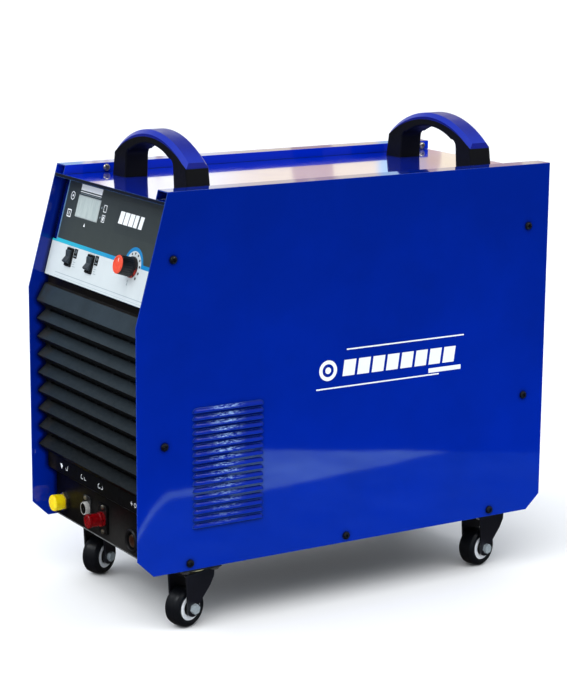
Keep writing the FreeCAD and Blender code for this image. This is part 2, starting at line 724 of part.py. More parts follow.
knob = new_piece("current_knob")
knob_r = dim["knob_dia"] / 2
knob_ht = dim["knob_ht"]
revolve(knob, "knob_form", [
    (0.0, 17.2), (pot_shaft_r + 0.05, 17.2), (pot_shaft_r + 0.05, 6.0), (8.2, 6.0),
    (8.2, 1.0), (13.0, 1.0), (13.0, 3.2), (knob_r, 4.6), (knob_r - 0.7, knob_ht - 1.0),
    (knob_r - 1.7, knob_ht), (knob_r - 3.4, knob_ht), (knob_r - 3.8, knob_ht - 0.8),
    (0.0, knob_ht - 0.8)])
flutes(knob, "knob", 24, 19.0, 13.5, knob_r + 0.55, 1.25)
knob.Placement = on_fascia(*KNOB)

# ---- Connectors. Local frame: z points out of the panel, towards -Y ---------
conn_rot = Rotation(X_DIR, 90)


def place_connector(body, middle):
    place(body, (middle[0], conn_y, case_z + middle[1]), conn_rot)


outlet = new_piece("air_outlet_fitting")
outlet_r = dim["outlet_dia"] / 2
revolve(outlet, "outlet_form", [
    (3.0, -26.0), (6.0, -26.0), (6.0, -12.0), (outlet_r, -12.0), (outlet_r, 15.0),
    (outlet_r - 1.0, 16.0), (5.2, 16.0), (3.0, 12.0)])
pad(outlet, "XY", "outlet_nut", 0.0, 4.0, [hexagon(12.6, 30), (0, 0, outlet_r - 0.5)])
pad(outlet, "XY", "outlet_backnut", -5.6, 4.0, [hexagon(12.6), (0, 0, outlet_r - 0.5)])
place_connector(outlet, AIR_OUTLET)

dust_cap = new_piece("outlet_dust_cap")
revolve(dust_cap, "cap_form", [
    (0.0, 16.6), (outlet_r + 0.06, 16.6), (outlet_r + 0.06, 4.2), (outlet_r + 1.6, 4.2),
    (outlet_r + 1.9, 6.0), (outlet_r + 2.2, 8.0), (outlet_r + 2.8, 17.0),
    (outlet_r + 2.0, 18.6), (outlet_r + 0.4, 19.4), (0.0, 19.8)])
place_connector(dust_cap, AIR_OUTLET)

trigger = new_piece("trigger_socket")
pad(trigger, "XY", "socket_flange", 0.0, 1.6, [round_rect(10.0, 16.5, 4.0)])
pad(trigger, "XY", "socket_shell", -10.0, 17.0, [(0, 0, 8.0)])
pad(trigger, "XY", "socket_ring", 0.0, 5.0, [(0, 0, 8.7)])
pocket(trigger, "XY", "socket_well", 8.0, 9.0, [(0, 0, 6.8)])
pad(trigger, "XY", "socket_pins", -2.5, 7.0,
    [(3.6 * math.cos(a), 3.6 * math.sin(a), 0.8) for a in map(math.radians, (90, 210, 330))])
pocket(trigger, "XY", "socket_holes", 3.0, 5.0, [(x, z, 1.7) for x, z in TRIGGER_SCREWS])
place_connector(trigger, TRIGGER)

terminal = new_piece("pilot_terminal_base")
pad(terminal, "XY", "terminal_flange", 0.0, 4.0, [round_rect(11.5, 19.0, 3.0)])
pad(terminal, "XY", "terminal_collar", 0.0, 6.5, [(0, 0, 9.6)])
pad(terminal, "XY", "terminal_neck", -8.0, 9.0, [(0, 0, 5.0)])
pad(terminal, "XY", "terminal_stud", -20.0, 38.0, [(0, 0, 3.0)])
pocket(terminal, "XY", "terminal_holes", 5.0, 8.0, [(x, z, 1.7) for x, z in PILOT_SCREWS])
place_connector(terminal, PILOT)

terminal_knob = new_piece("pilot_terminal_knob")
revolve(terminal_knob, "terminal_knob_form", [
    (3.05, 6.6), (8.2, 6.6), (8.9, 7.6), (8.9, 9.4), (8.3, 10.2), (8.3, 21.0), (9.0, 22.4),
    (9.0, 24.6), (8.2, 25.6), (5.6, 26.0), (5.6, 25.0), (0.0, 25.0), (0.0, 18.8),
    (3.05, 18.8)])
flutes(terminal_knob, "terminal", 18, 27.0, 20.0, 9.4, 0.8)
place_connector(terminal_knob, PILOT)

socket = new_piece("output_socket_body")
socket_r = dim["dinse_od"] / 2
revolve(socket, "dinse_shell", [
    (8.1, -22.0), (12.0, -22.0), (12.0, 0.0), (socket_r, 0.0), (socket_r, 9.0),
    (socket_r - 1.6, 10.6), (11.6, 10.6), (10.6, 9.6), (10.6, 4.0), (8.1, 4.0)])
pocket(socket, "XY", "dinse_key", 13.0, 6.5, [rect(-2.0, 10.0, 2.0, 12.6)])
place_connector(socket, OUTPUT)

contact = new_piece("output_socket_contact")
contact_r = dim["dinse_bore"] / 2
revolve(contact, "dinse_contact_form", [
    (0.0, -22.0), (0.0, -36.0), (4.0, -36.0), (4.0, -24.0), (8.0, -24.0), (8.0, 7.4),
    (7.4, 8.0), (contact_r, 8.0), (contact_r, -19.0), (0.0, -19.0)])
place_connector(contact, OUTPUT)


# ---- Fasteners --------------------------------------------------------------
def pan_screw(name, head_r, head_h, shank_r, length, cross_r):
    """A pan-head screw: the head stands on z = 0 and the shank runs down."""
    body = new_body(name)
    revolve(body, name + "_form", [
        (0.0, -length), (shank_r - 0.5, -length), (shank_r, -length + 0.7), (shank_r, 0.0),
        (head_r, 0.0), (head_r, head_h * 0.45), (head_r * 0.86, head_h * 0.82),
        (head_r * 0.6, head_h), (0.0, head_h)])
    arm = cross_r * 0.24
    pocket(body, "XY", name + "_cross", head_h + 1, 1 + head_h * 0.72, [[
        (-arm, -cross_r), (arm, -cross_r), (arm, -arm), (cross_r, -arm), (cross_r, arm),
        (arm, arm), (arm, cross_r), (-arm, cross_r), (-arm, arm), (-cross_r, arm),
        (-cross_r, -arm), (-arm, -arm)]])
    return body


panel_screw = pan_screw("panel_screw", dim["screw_head_dia"].value / 2, 3.2,
                        dim["screw_shank_dia"].value / 2, 9.0, 2.7)
# the crosses stand at varied angles
keep(from_shape("side_panel_screws", Part.makeCompound(copies(panel_screw, [
    Placement(vec(half_wid * side, y, case_z + z),
              Rotation(Y_DIR, 90 * side) * Rotation(Z_DIR, turn))
    for y, z in SIDE_SCREWS for side, turn in ((1, 20 + y), (-1, 35 + z))]))))

hem_screw = pan_screw("hem_screw", 4.6, 3.0, 2.0, 8.0, 2.4)
keep(from_shape("hem_screws", Part.makeCompound(copies(hem_screw, [
    Placement(vec(fold_x * side, y, hem_screw_z), Rotation(Y_DIR, -90 * side))
    for y in HEM_SCREW_Y for side in SIDES]))))

conn_screw = pan_screw("connector_screw", 2.9, 2.0, 1.5, 9.0, 1.6)
keep(from_shape("connector_screws", Part.makeCompound(copies(conn_screw, [
    Placement(vec(x, conn_y - flange, case_z + z), conn_rot)
    for flange, screws in ((1.6, trigger_screws), (4.0, pilot_screws))
    for x, z in screws]))))

# M6 hexagon bolts: casters to base plate, with nuts, and handles to top cover
BOLT_R = 3.0
BOLT_HEX_R = 5.7
frame_bolt = new_body("frame_bolt")
pad(frame_bolt, "XY", "bolt_head", 0.0, 4.0, [hexagon(BOLT_HEX_R)], reverse=True)
pad(frame_bolt, "XY", "bolt_shank", 0.0, 8.4, [(0, 0, BOLT_R)])
pad(frame_bolt, "XY", "bolt_nut", 4.0, 4.0, [hexagon(BOLT_HEX_R, 15), (0, 0, 2.9)])
handle_bolt = new_body("handle_bolt")
pad(handle_bolt, "XY", "hbolt_head", 0.0, 4.0, [hexagon(BOLT_HEX_R)], reverse=True)
pad(handle_bolt, "XY", "hbolt_shank", 0.0, 11.0, [(0, 0, BOLT_R)])


def upright(points, z):
    return [Placement(vec(x, y, z), Rotation()) for x, y in points]


keep(from_shape("frame_bolts", Part.makeCompound(
    copies(frame_bolt, upright(caster_bolts, case_z - 2.5))
    + copies(handle_bolt, upright(handle_bolts, cover_z - 1.4)))))

# ---- Handles: a moulded arch with a cap on top ------------------------------
foot_x = dim["handle_wid"] / 2


def arc_radius(half_chord, sag):
    return (half_chord ** 2 + sag ** 2) / (2 * sag)


SEAM_R = arc_radius(93.0, 29.0)         # arc between the grip and its cap
OPENING_R = arc_radius(50.0, 12.5)
CAP_TOP_R = arc_radius(91.0, 30.5)


def handle_grip(name, y0):
    body = new_body(name)
    pad(body, "XZ", name + "_arch", -(y0 + handle_dep), handle_dep, [[
        (-foot_x, cover_z), (-62.5, cover_z),
        (-60.5, cover_z + 27, -57.6, cover_z + 33.4, 11.5),
        (-50.0, cover_z + 36.0, 0.0, cover_z + 48.5, OPENING_R),
        (50.0, cover_z + 36.0, 57.6, cover_z + 33.4, 11.5),
        (60.5, cover_z + 27), (62.5, cover_z), (foot_x, cover_z),
        (93.0, cover_z + 28.0, 0.0, cover_z + 57.0, SEAM_R), (-93.0, cover_z + 28.0)]])
    half_dep = handle_dep.value / 2
    # edges of the front and rear faces, without the feet and the seam
    dress(body, "Fillet", name + "_soft",
          lambda edge, mid: 1.0 < mid.z - cover_z.value < 49.5
          and abs(abs(mid.y - y0.value - half_dep) - half_dep) < 0.01, 2.2)
    pocket(body, "XY", name + "_holes", cover_z - 1, 14.0,
           [(side * HANDLE_BOLT_X, y0 + handle_dep / 2, BOLT_HOLE_R) for side in SIDES],
           reverse=True)
    return body


def handle_cap(name, y0):
    body = new_body(name)
    pad(body, "XZ", name + "_arch", -(y0 + handle_dep), handle_dep, [[
        (-93.0, cover_z + 28.0, 0.0, cover_z + 57.0, SEAM_R), (93.0, cover_z + 28.0),
        (91.0, cover_z + 35.0, 0.0, cover_z + 65.5, CAP_TOP_R), (-91.0, cover_z + 35.0)]])
    dress(body, "Chamfer", name + "_bevel", lambda edge, mid: not along(edge, "y")
          and abs(mid.x) < 1.0 and mid.z > cover_z.value + 62, 5.0)
    return body


keep(group("handle_grips", [handle_grip("grip_" + end, y) for end, y in HANDLES]))
keep(group("handle_caps", [handle_cap("cap_" + end, y) for end, y in HANDLES]))

# ---- Casters. Local frame: the kingpin is the z axis, z = 0 on the floor, the
# wheel rolls along y and its axle runs along x. ------------------------------
kingpin_r = dim["kingpin_dia"] / 2
axle_r = dim["axle_dia"] / 2
wheel_r = dim["wheel_dia"] / 2
rim_r = wheel_r - 8.6
tyre_x = dim["tyre_wid"] / 2


def caster_plate(name, x, y):
    body = new_body(name)
    pad(body, "XY", name + "_plate", case_z - 2.5, 2.5, [round_rect(28.5, 28.5, 6.0)])
    pad(body, "XY", name + "_race", case_z - 7.9, 6.0, [(0, 0, 17.0)])
    pad(body, "XY", name + "_pin", case_z - 20.5, 14.0, [(0, 0, kingpin_r)])
    pad(body, "XY", name + "_nut", case_z - 19.2, 8.6, [hexagon(9.4, 12)])
    pocket(body, "XY", name + "_holes", case_z - 4, 6.0,
           [(px, py, BOLT_HOLE_R) for px, py in plate_bolts], reverse=True)
    body.Placement = Placement(Vector(x, y, 0), Rotation())
    return body


def caster_fork(name, swivel):
    body = new_piece(name)
    axle_z = wheel_r
    axle_y = -dim["trail"]
    pad(body, "YZ", name + "_sides", -16.7, 33.4, [[
        (-25.5, case_z - 8.0), (axle_y - 9.8, axle_z + 10.0),
        (axle_y - 9.8, axle_z - 1.5, axle_y - 4.2, axle_z - 9.6, 10.0),
        (axle_y + 5.0, axle_z - 8.66, axle_y + 9.8, axle_z - 2.0, 10.0),
        (axle_y + 9.4, axle_z + 4.0), (15.5, case_z - 30.0), (22.0, case_z - 19.5),
        (23.0, case_z - 8.0)]])
    dress(body, "Fillet", name + "_bends",
          lambda edge, mid: along(edge, "y") and mid.z > case_z.value - 8.2, 3.2)
    pocket(body, "YZ", name + "_gap", -14.2, 28.4, [rect(-40.0, 5.0, 30.0, case_z - 10.5)],
           reverse=True)
    pocket(body, "XY", name + "_kingpin_hole", case_z - 12, 6.0,
           [(0, 0, kingpin_r + 0.05)], reverse=True)
    pad(body, "YZ", name + "_axle", -21.0, 42.0, [(axle_y, axle_z, axle_r)])
    pad(body, "YZ", name + "_bolt_head", 16.7, 4.8, [hexagon(6.6, 10, axle_y, axle_z)])
    pad(body, "YZ", name + "_bolt_nut", -22.0, 5.3, [hexagon(6.6, 40, axle_y, axle_z)])
    body.Placement = swivel


def caster_hub(name, wheel_place):
    body = new_piece(name)
    revolve(body, name + "_form", [
        (-13.6, axle_r + 0.05), (13.6, axle_r + 0.05), (13.6, 6.6), (10.4, 7.4),
        (9.0, 9.4), (9.0, 10.2), (11.2, 10.9), (11.6, 13.4), (11.2, rim_r - 0.8),
        (10.4, rim_r), (-10.4, rim_r), (-11.2, rim_r - 0.8), (-11.6, 13.4), (-11.2, 10.9),
        (-9.0, 10.2), (-9.0, 9.4), (-10.4, 7.4), (-13.6, 6.6)], plane="XY", axis="H_Axis")
    body.Placement = wheel_place


def caster_tyre(name, wheel_place):
    body = new_piece(name)
    revolve(body, name + "_form", [
        (-10.4, rim_r), (10.4, rim_r), (11.2, rim_r + 0.02), (tyre_x, rim_r + 2.2),
        (tyre_x - 0.6, wheel_r - 3.2), (tyre_x - 3.4, wheel_r - 0.7), (5.0, wheel_r),
        (-5.0, wheel_r), (-tyre_x + 3.4, wheel_r - 0.7), (-tyre_x + 0.6, wheel_r - 3.2),
        (-tyre_x, rim_r + 2.2), (-11.2, rim_r + 0.02)], plane="XY", axis="H_Axis")
    dress(body, "Fillet", name + "_shoulder", lambda edge, mid: any(
        abs(abs(mid.x) - (tyre_x.value - inset)) < 0.05 for inset in (0.6, 3.4)), 1.6)
    body.Placement = wheel_place


# suffix, kingpin x and y, swivel angle
CASTERS = [("fl", -FRONT_KINGPIN[0], FRONT_KINGPIN[1], 28.0),
           ("fr", *FRONT_KINGPIN, 16.0),
           ("rl", -REAR_KINGPIN[0], REAR_KINGPIN[1], 22.0),
           ("rr", *REAR_KINGPIN, 14.0)]
keep(group("caster_plates", [caster_plate("plate_" + end, x, y) for end, x, y, _ in CASTERS]))
for end, x, y, angle in CASTERS:
    swivel = Placement(Vector(x, y, 0), Rotation(Z_DIR, angle))
    wheel_place = swivel * Placement(vec(0, -dim["trail"], wheel_r), Rotation())
    caster_fork("caster_fork_" + end, swivel)
    caster_hub("caster_hub_" + end, wheel_place)
    caster_tyre("caster_tyre_" + end, wheel_place)

# ---- Rear fittings. Local frame: z points out of the rear panel, towards +Y,
# and y points down. ----------------------------------------------------------
rear_rot = Rotation(X_DIR, -90)


def place_rear(obj, middle):
    place(obj, (middle[0], rear_y, case_z + middle[1]), rear_rot)


def diagonals():
    """Cosine and sine of the four diagonal directions."""
    return [(math.cos(a), math.sin(a)) for a in map(math.radians, (45, 135, 225, 315))]


fan = new_piece("fan_frame")
pad(fan, "XY", "fan_square", -39.5, 38.0,
    [round_rect(75.0, 75.0, 6.0), (0, 0, dim["fan_dia"] / 2)])
pad(fan, "XY", "fan_motor", -39.5, 9.0, [(0, 0, 27.0)])
pad(fan, "XY", "fan_arms", -39.5, 5.0, [
    [(20 * c - 3 * s, 20 * s + 3 * c), (20 * c + 3 * s, 20 * s - 3 * c),
     (71 * c + 3 * s, 71 * s - 3 * c), (71 * c - 3 * s, 71 * s + 3 * c)]
    for c, s in diagonals()])
pad(fan, "XY", "fan_shaft", -31.0, 22.0, [(0, 0, 3.0)])
place_rear(fan, FAN)

# rotor: a hub with seven twisted blades
BLADES = 7
BLADE_STATIONS = [(26.0, 52.0, 20.0), (45.0, 40.0, 25.0), (64.5, 30.0, 27.0)]
# radius, pitch angle, chord


def fan_blade(turn):
    sections = []
    for radius, pitch_angle, chord in BLADE_STATIONS:
        c, s = math.cos(math.radians(pitch_angle)), math.sin(math.radians(pitch_angle))
        corners = [Vector(radius, u * c - w * s, -18.0 + u * s + w * c)
                   for u, w in rect(-chord / 2, -0.9, chord / 2, 0.9)]
        sections.append(Part.makePolygon(corners + corners[:1]))
    blade = Part.makeLoft(sections, True, True)
    blade.rotate(Vector(), Z_DIR, turn)
    return blade


rotor_hub = Part.makeCylinder(28.0, 24.0, Vector(0, 0, -30.0)).cut(
    Part.makeCylinder(3.05, 30.0, Vector(0, 0, -32.0)))
rotor = keep(from_shape("fan_rotor", rotor_hub.fuse(
    [fan_blade(k * 360.0 / BLADES) for k in range(BLADES)])))
place_rear(rotor, FAN)

# guard: concentric wires on crossed spokes, with a lug at the end of each spoke
wires = [Part.makeTorus(float(r), 1.1, Vector(0, 0, 3.6)) for r in range(12, 73, 10)]
for c, s in diagonals():
    wires.append(Part.makeCylinder(1.3, 80.0, Vector(8 * c, 8 * s, 1.9), Vector(c, s, 0)))
    lug = Part.makeCylinder(5.0, 3.0, Vector(88 * c, 88 * s, 0.0))
    wires.append(lug.cut(Part.makeCylinder(2.2, 5.0, Vector(88 * c, 88 * s, -1.0))))
guard = keep(from_shape("fan_guard", wires[0].fuse(wires[1:])))
place_rear(guard, FAN)

# circuit breaker
TOGGLE_Z = -1.0
breaker = new_piece("breaker_body")
pad(breaker, "XY", "breaker_case", -48.0, 46.5, [rect(-27.0, -40.0, 27.0, 40.0)])
pad(breaker, "XY", "breaker_nose", -2.0, 8.0, [rect(-23.0, -22.0, 23.0, 22.0)])
pocket(breaker, "XY", "breaker_well", 7.0, 17.0, [rect(-19.5, -13.5, 19.5, 13.5)])
dress(breaker, "Fillet", "breaker_edge", lambda edge, mid: mid.z > 5.9
      and (abs(abs(mid.x) - 23.0) < 0.01 or abs(abs(mid.y) - 22.0) < 0.01), 1.0)
pocket(breaker, "YZ", "breaker_pin_holes", -20.7, 41.4, [(0.0, TOGGLE_Z, 2.05)], reverse=True)
place_rear(breaker, BREAKER)

toggle = new_piece("breaker_toggle")
pad(toggle, "YZ", "toggle_key", -18.5, 37.0, [[
    (-8.0, -2.0), (-3.0, -7.0), (3.0, -7.0), (8.0, -2.0), (6.4, 5.6), (3.0, 7.0),
    (2.6, 17.0), (-2.6, 17.0), (-3.0, 7.0), (-6.4, 5.6)]])
dress(toggle, "Fillet", "toggle_soft",
      lambda edge, mid: along(edge, "x") and mid.z > 16.9, 1.6)
pad(toggle, "YZ", "toggle_pin", -20.5, 41.0, [(0.0, 0.0, 2.0)])
toggle.Placement = (Placement(vec(breaker_x, rear_y, breaker_z), rear_rot)
                    * Placement(Vector(0, 0, TOGGLE_Z), Rotation(X_DIR, 18)))

# cord gland and mains cord
cord_r = dim["cord_dia"] / 2
gland = new_piece("cord_gland")
revolve(gland, "gland_form", [
    (cord_r + 0.1, -12.0), (12.0, -12.0), (12.0, 0.0), (16.0, 0.0), (16.0, 5.0),
    (15.0, 6.0), (15.0, 14.0), (12.5, 20.0), (cord_r + 1.6, 22.5), (cord_r + 0.1, 22.5)])
pad(gland, "XY", "gland_hex", 0.0, 6.0, [hexagon(18.0), (0, 0, 13.0)])
pad(gland, "XY", "gland_locknut", -6.5, 5.0, [hexagon(17.0), (0, 0, 11.0)])
place_rear(gland, GLAND)


def cord_shape():
    """Out of the gland, a bend down, a straight drop and a curl towards -X."""
    bend_r, curl_r, curl_z, tail = 28.0, 60.0, 190.0, 34.0
    x, z = GLAND[0], case_z.value + GLAND[1]
    bend_y = rear_y.value + 25.0
    drop_y = bend_y + bend_r
    q = math.sqrt(0.5)
    last = math.radians(40)

    def curl(angle):
        return Vector(x - curl_r + curl_r * math.cos(angle), drop_y,
                      curl_z - curl_r * math.sin(angle))

    start = Vector(x, rear_y.value - 40.0, z)
    bend_start = Vector(x, bend_y, z)
    bend_mid = Vector(x, bend_y + bend_r * q, z - bend_r + bend_r * q)
    bend_end = Vector(x, drop_y, z - bend_r)
    drop_end = Vector(x, drop_y, curl_z)
    curl_end = curl(last)
    end = curl_end - Vector(tail * math.sin(last), 0, tail * math.cos(last))
    curves = [Part.LineSegment(start, bend_start), Part.Arc(bend_start, bend_mid, bend_end),
              Part.LineSegment(bend_end, drop_end),
              Part.Arc(drop_end, curl(math.radians(20)), curl_end),
              Part.LineSegment(curl_end, end)]
    path = Part.Wire([curve.toShape() for curve in curves])
    section = Part.Wire([Part.Circle(start, Y_DIR, cord_r.value).toShape()])
    return path.makePipeShell([section], True, True)


keep(from_shape("power_cord", cord_shape()))

# air filter with regulator, on a nipple through the rear panel
STEM_OUT = 26.0         # from the rear panel to the axis of bonnet, bowl and knob
regulator = new_piece("regulator_body")
pad(regulator, "XY", "regulator_block", 6.0, 40.0, [round_rect(20.0, 20.0, 4.0)])
pad(regulator, "XY", "regulator_nipple", -22.0, 30.0, [(0, 0, 6.8)])
pad(regulator, "XY", "regulator_nipple_nut", -6.5, 5.0, [hexagon(11.0)])
pad(regulator, "XY", "regulator_flange", 0.0, 6.5, [(0, 0, 13.0)])
# bonnet and stem above, bowl neck below, hose tail to the side
pad(regulator, "XZ", "regulator_bonnet", 19.0, 9.0, [(0.0, STEM_OUT, 15.0)])
pad(regulator, "XZ", "regulator_stem", 19.0, 20.0, [(0.0, STEM_OUT, 3.5)])
pad(regulator, "XZ", "regulator_neck", -26.0, 8.0, [(0.0, STEM_OUT, 18.5)])
pad(regulator, "YZ", "regulator_tail", -46.0, 28.0, [(0.0, STEM_OUT, dim["inlet_dia"] / 2)])
pad(regulator, "YZ", "regulator_tail_nut", -27.0, 8.0, [hexagon(9.0, y=STEM_OUT)])
pad(regulator, "XY", "regulator_gauge", 45.0, 13.0, [(0.0, 0.0, 15.0)])
dress(regulator, "Fillet", "regulator_gauge_rim", lambda edge, mid: mid.z > 57.9, 1.2)
place_rear(regulator, REGULATOR)

bowl = new_piece("regulator_bowl")
revolve(bowl, "bowl_form", [
    (0.0, 0.0), (4.0, 0.0), (4.0, 5.0), (14.0, 8.0), (18.0, 14.0), (18.0, 48.0),
    (15.8, 48.0), (15.8, 15.0), (12.6, 10.6), (0.0, 7.4)])
regulator_z = case_z + REGULATOR[1]
place(bowl, (REGULATOR[0], rear_y + STEM_OUT, regulator_z - 26.0 - 48.1))

regulator_knob = new_piece("regulator_knob")
revolve(regulator_knob, "reg_knob_form", [
    (3.55, 0.0), (13.5, 0.0), (14.0, 0.6), (14.0, 16.0), (12.6, 18.0), (0.0, 18.0),
    (0.0, 13.0), (3.55, 13.0)])
flutes(regulator_knob, "reg_knob", 20, 19.0, 16.5, 14.4, 1.1)
place(regulator_knob, (REGULATOR[0], rear_y + STEM_OUT, regulator_z + 28.2))

# earth stud with its nuts and washer
stud = new_piece("earth_stud")
pad(stud, "XY", "stud_rod", -16.0, 38.0, [(0, 0, dim["earth_dia"] / 2)])
pad(stud, "XY", "stud_washer", 0.0, 1.6, [(0, 0, 8.4)])
pad(stud, "XY", "stud_nut", 1.6, 6.0, [hexagon(7.4, 10)])
pad(stud, "XY", "stud_back_nut", -8.0, 6.5, [hexagon(7.4)])
place_rear(stud, EARTH)

# ---- Inside the case --------------------------------------------------------
floor_z = case_z + 1.5
SINK_HT = 140.0
SINK_FINS = 11
SINK_PITCH = 12.8

# heat sinks: combs with their fins towards the middle of the case
sink = new_body("heatsink_left")
comb = [(-62.0, floor_z), (-62.0, floor_z + SINK_HT)]
for k in range(SINK_FINS):
    fin_top = floor_z + (SINK_HT - k * SINK_PITCH)
    if k:
        comb.append((-54.0, fin_top))
    comb += [(-14.0, fin_top), (-14.0, fin_top - 2.4), (-54.0, fin_top - 2.4)]
comb.append((-54.0, floor_z))
pad(sink, "XZ", "sink_comb", -150.0, 250.0, [comb])
keep(group("heatsinks", [sink, mirror_x("heatsink_right", sink)]))

keep(group("power_modules", [
    box("module_%d_%d_%d" % (side, j, k), x, y, floor_z + z, 30.0, 94.0, 34.0)
    for side, x in ((0, -92.0), (2, 62.0))
    for j, y in enumerate((-80.0, 30.0))
    for k, z in enumerate((18.0, 82.0))]))

core = box("core_block", -46.0, 20.0, floor_z + 140.0, 92.0, 80.0, 76.0)
gaps = [box("core_gap_" + end, x, 10.0, floor_z + 156.0, 20.0, 100.0, 44.0)
        for end, x in (("a", -30.0), ("b", 10.0))]
winding = cylinder("winding", 0.0, 60.0, floor_z + 157.0, 29.0, 42.0)
keep(fuse("main_transformer", [cut("core_e", core, fuse("core_gaps", gaps)), winding]))

keep(primitive("Torus", "output_choke", (0.0, -55.0, floor_z + 155.0),
               Radius1=28.0, Radius2=15.0))

keep(group("capacitor_bank", [
    cylinder("cap_can_%d" % k, 118.0, -110.0 + k * 42.0, floor_z, 17.5, 55.0)
    for k in range(4)]))

keep(fuse("control_board", [
    box("pcb_plate", -100.0, frame_back, case_z + 312.0, 200.0, 1.6, 118.0),
    box("pcb_relay", -80.0, frame_back + 1.0, case_z + 330.0, 28.0, 18.0, 34.0),
    box("pcb_transformer", 20.0, frame_back + 1.0, case_z + 330.0, 44.0, 34.0, 38.0),
    box("pcb_connector", -30.0, frame_back + 1.0, case_z + 400.0, 60.0, 12.0, 10.0)]))

keep(fuse("solenoid_valve", [
    box("valve_block", -128.0, -190.0, floor_z, 20.0, 44.0, 24.0),
    cylinder("valve_coil", -118.0, -168.0, floor_z + 20.0, 9.8, 34.0),
    cylinder("valve_port", -118.0, -212.0, floor_z + 12.0, 5.0, 30.0, rear_rot)]))

# ---- Move to the middle of the whole outline, rear fittings included --------
for piece in PIECES:
    if piece.Label == "side_panel_left":
        continue        # it mirrors the right panel, which is moved itself
    bound = [expr for path, expr in piece.ExpressionEngine
             if path.lstrip(".") == "Placement.Base.y"]
    now = bound[0] if bound else "%.6f" % piece.Placement.Base.y
    piece.setExpression("Placement.Base.y", "(%s) - Dims.origin_shift" % now)
doc.recompute()

# ---- Check and export -------------------------------------------------------
faults = ["%s %s" % (obj.Name, obj.State) for obj in doc.Objects
          if "Invalid" in obj.State or "Error" in obj.State]
for piece in PIECES:
    if piece.Shape.isNull() or not piece.Shape.isValid():
        faults.append("%s has no valid shape" % piece.Label)
    elif not piece.Shape.Solids:
        faults.append("%s has no solid" % piece.Label)
if faults:
    raise RuntimeError("; ".join(faults))
for piece in PIECES:
    piece.Shape.exportStep("parts/%s.step" % piece.Label)
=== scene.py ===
"""Looks of a plasma cutter unit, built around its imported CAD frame.

The case stands on four swivel casters over a floor at z = 0. +Z is up, the front faces -Y and
the right side +X. Blender works in metres; sizes here are in millimetres unless noted.
"""

import math

import bpy
import bmesh
from mathutils import Matrix, Vector


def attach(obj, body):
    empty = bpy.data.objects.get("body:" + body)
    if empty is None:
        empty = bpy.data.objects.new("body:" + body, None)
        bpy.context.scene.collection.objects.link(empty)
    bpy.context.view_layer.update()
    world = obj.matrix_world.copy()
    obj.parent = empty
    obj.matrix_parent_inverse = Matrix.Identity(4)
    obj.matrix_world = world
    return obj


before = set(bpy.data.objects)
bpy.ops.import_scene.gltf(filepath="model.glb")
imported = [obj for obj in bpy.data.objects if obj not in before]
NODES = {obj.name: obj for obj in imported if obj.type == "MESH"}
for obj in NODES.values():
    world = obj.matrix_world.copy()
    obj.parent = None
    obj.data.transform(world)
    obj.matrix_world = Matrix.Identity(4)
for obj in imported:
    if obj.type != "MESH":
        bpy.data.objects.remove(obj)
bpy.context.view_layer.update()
MM = 0.001

# ---------------------------------------------------------------------------
# places shared by materials and decals
# ---------------------------------------------------------------------------
ORIGIN_Y = -20.0                 # shift of the CAD parts' own origin
BASE_Z = 78.5                    # underside of the case, on top of the caster plates
PANEL_X = 147.5                  # outer face of the side panels, either side
CONNECTOR_Y = -265.2 + ORIGIN_Y  # outer face of the connector panel
SOCKET_X, SOCKET_Z = -55.0, BASE_Z + 31.0

# the leaning fascia: its lower edge, the direction up its face and the outward normal
FASCIA_BOTTOM, FASCIA_TOP, FASCIA_SETBACK = 305.4, 460.6, 42.9
FASCIA_FOOT = Vector((0.0, -281.8 + ORIGIN_Y, BASE_Z + FASCIA_BOTTOM))
LEAN = math.atan2(FASCIA_TOP - FASCIA_BOTTOM, FASCIA_SETBACK)
ALONG_X = Vector((1, 0, 0))
FASCIA_UP = Vector((0.0, math.cos(LEAN), math.sin(LEAN)))
FASCIA_OUT = Vector((0.0, -math.sin(LEAN), math.cos(LEAN)))
KNOB_X, KNOB_V = 76.0, 59.0      # knob centre: across, and up the face from the lower edge
KNOB_CENTRE = FASCIA_FOOT + KNOB_X * ALONG_X + KNOB_V * FASCIA_UP
ROCKER_XS = (-88.0, -30.0)

# casters: kingpin x, kingpin y, swivel angle in degrees
CASTERS = {"fl": (-118.0, -210.5 + ORIGIN_Y, 28.0), "fr": (118.0, -210.5 + ORIGIN_Y, 16.0),
           "rl": (-104.0, 242.0 + ORIGIN_Y, 22.0), "rr": (104.0, 242.0 + ORIGIN_Y, 14.0)}
TRAIL, AXLE_Z = 13.0, 25.0       # axle's offset from the kingpin, and its height


# ---------------------------------------------------------------------------
# shader graphs written as arithmetic
# ---------------------------------------------------------------------------
class Value:
    """A shader output; each arithmetic operation on it adds a Math node."""

    def __init__(self, graph, socket):
        self.graph, self.socket = graph, socket

    def math(self, operation, other=None):
        return self.graph.math(operation, self, other)

    def __add__(self, other):
        return self.graph.math("ADD", self, other)

    def __radd__(self, other):
        return self.graph.math("ADD", other, self)

    def __sub__(self, other):
        return self.graph.math("SUBTRACT", self, other)

    def __rsub__(self, other):
        return self.graph.math("SUBTRACT", other, self)

    def __mul__(self, other):
        return self.graph.math("MULTIPLY", self, other)

    def __rmul__(self, other):
        return self.graph.math("MULTIPLY", other, self)

    def __rtruediv__(self, other):
        return self.graph.math("DIVIDE", other, self)


def clamp(value):
    """Limit the Math node that made this value to 0..1."""
    value.socket.node.use_clamp = True
    return value


def above(value, edge, soft=0.05):
    """0 below the edge, 1 above it."""
    return value.graph.add("MapRange", {"Value": value, "From Min": edge - soft,
                                        "From Max": edge + soft}, interpolation_type="SMOOTHSTEP")


def below(value, edge, soft=0.05):
    return 1.0 - above(value, edge, soft)


def between(value, low, high, soft=0.05):
    return above(value, low, soft) * below(value, high, soft)


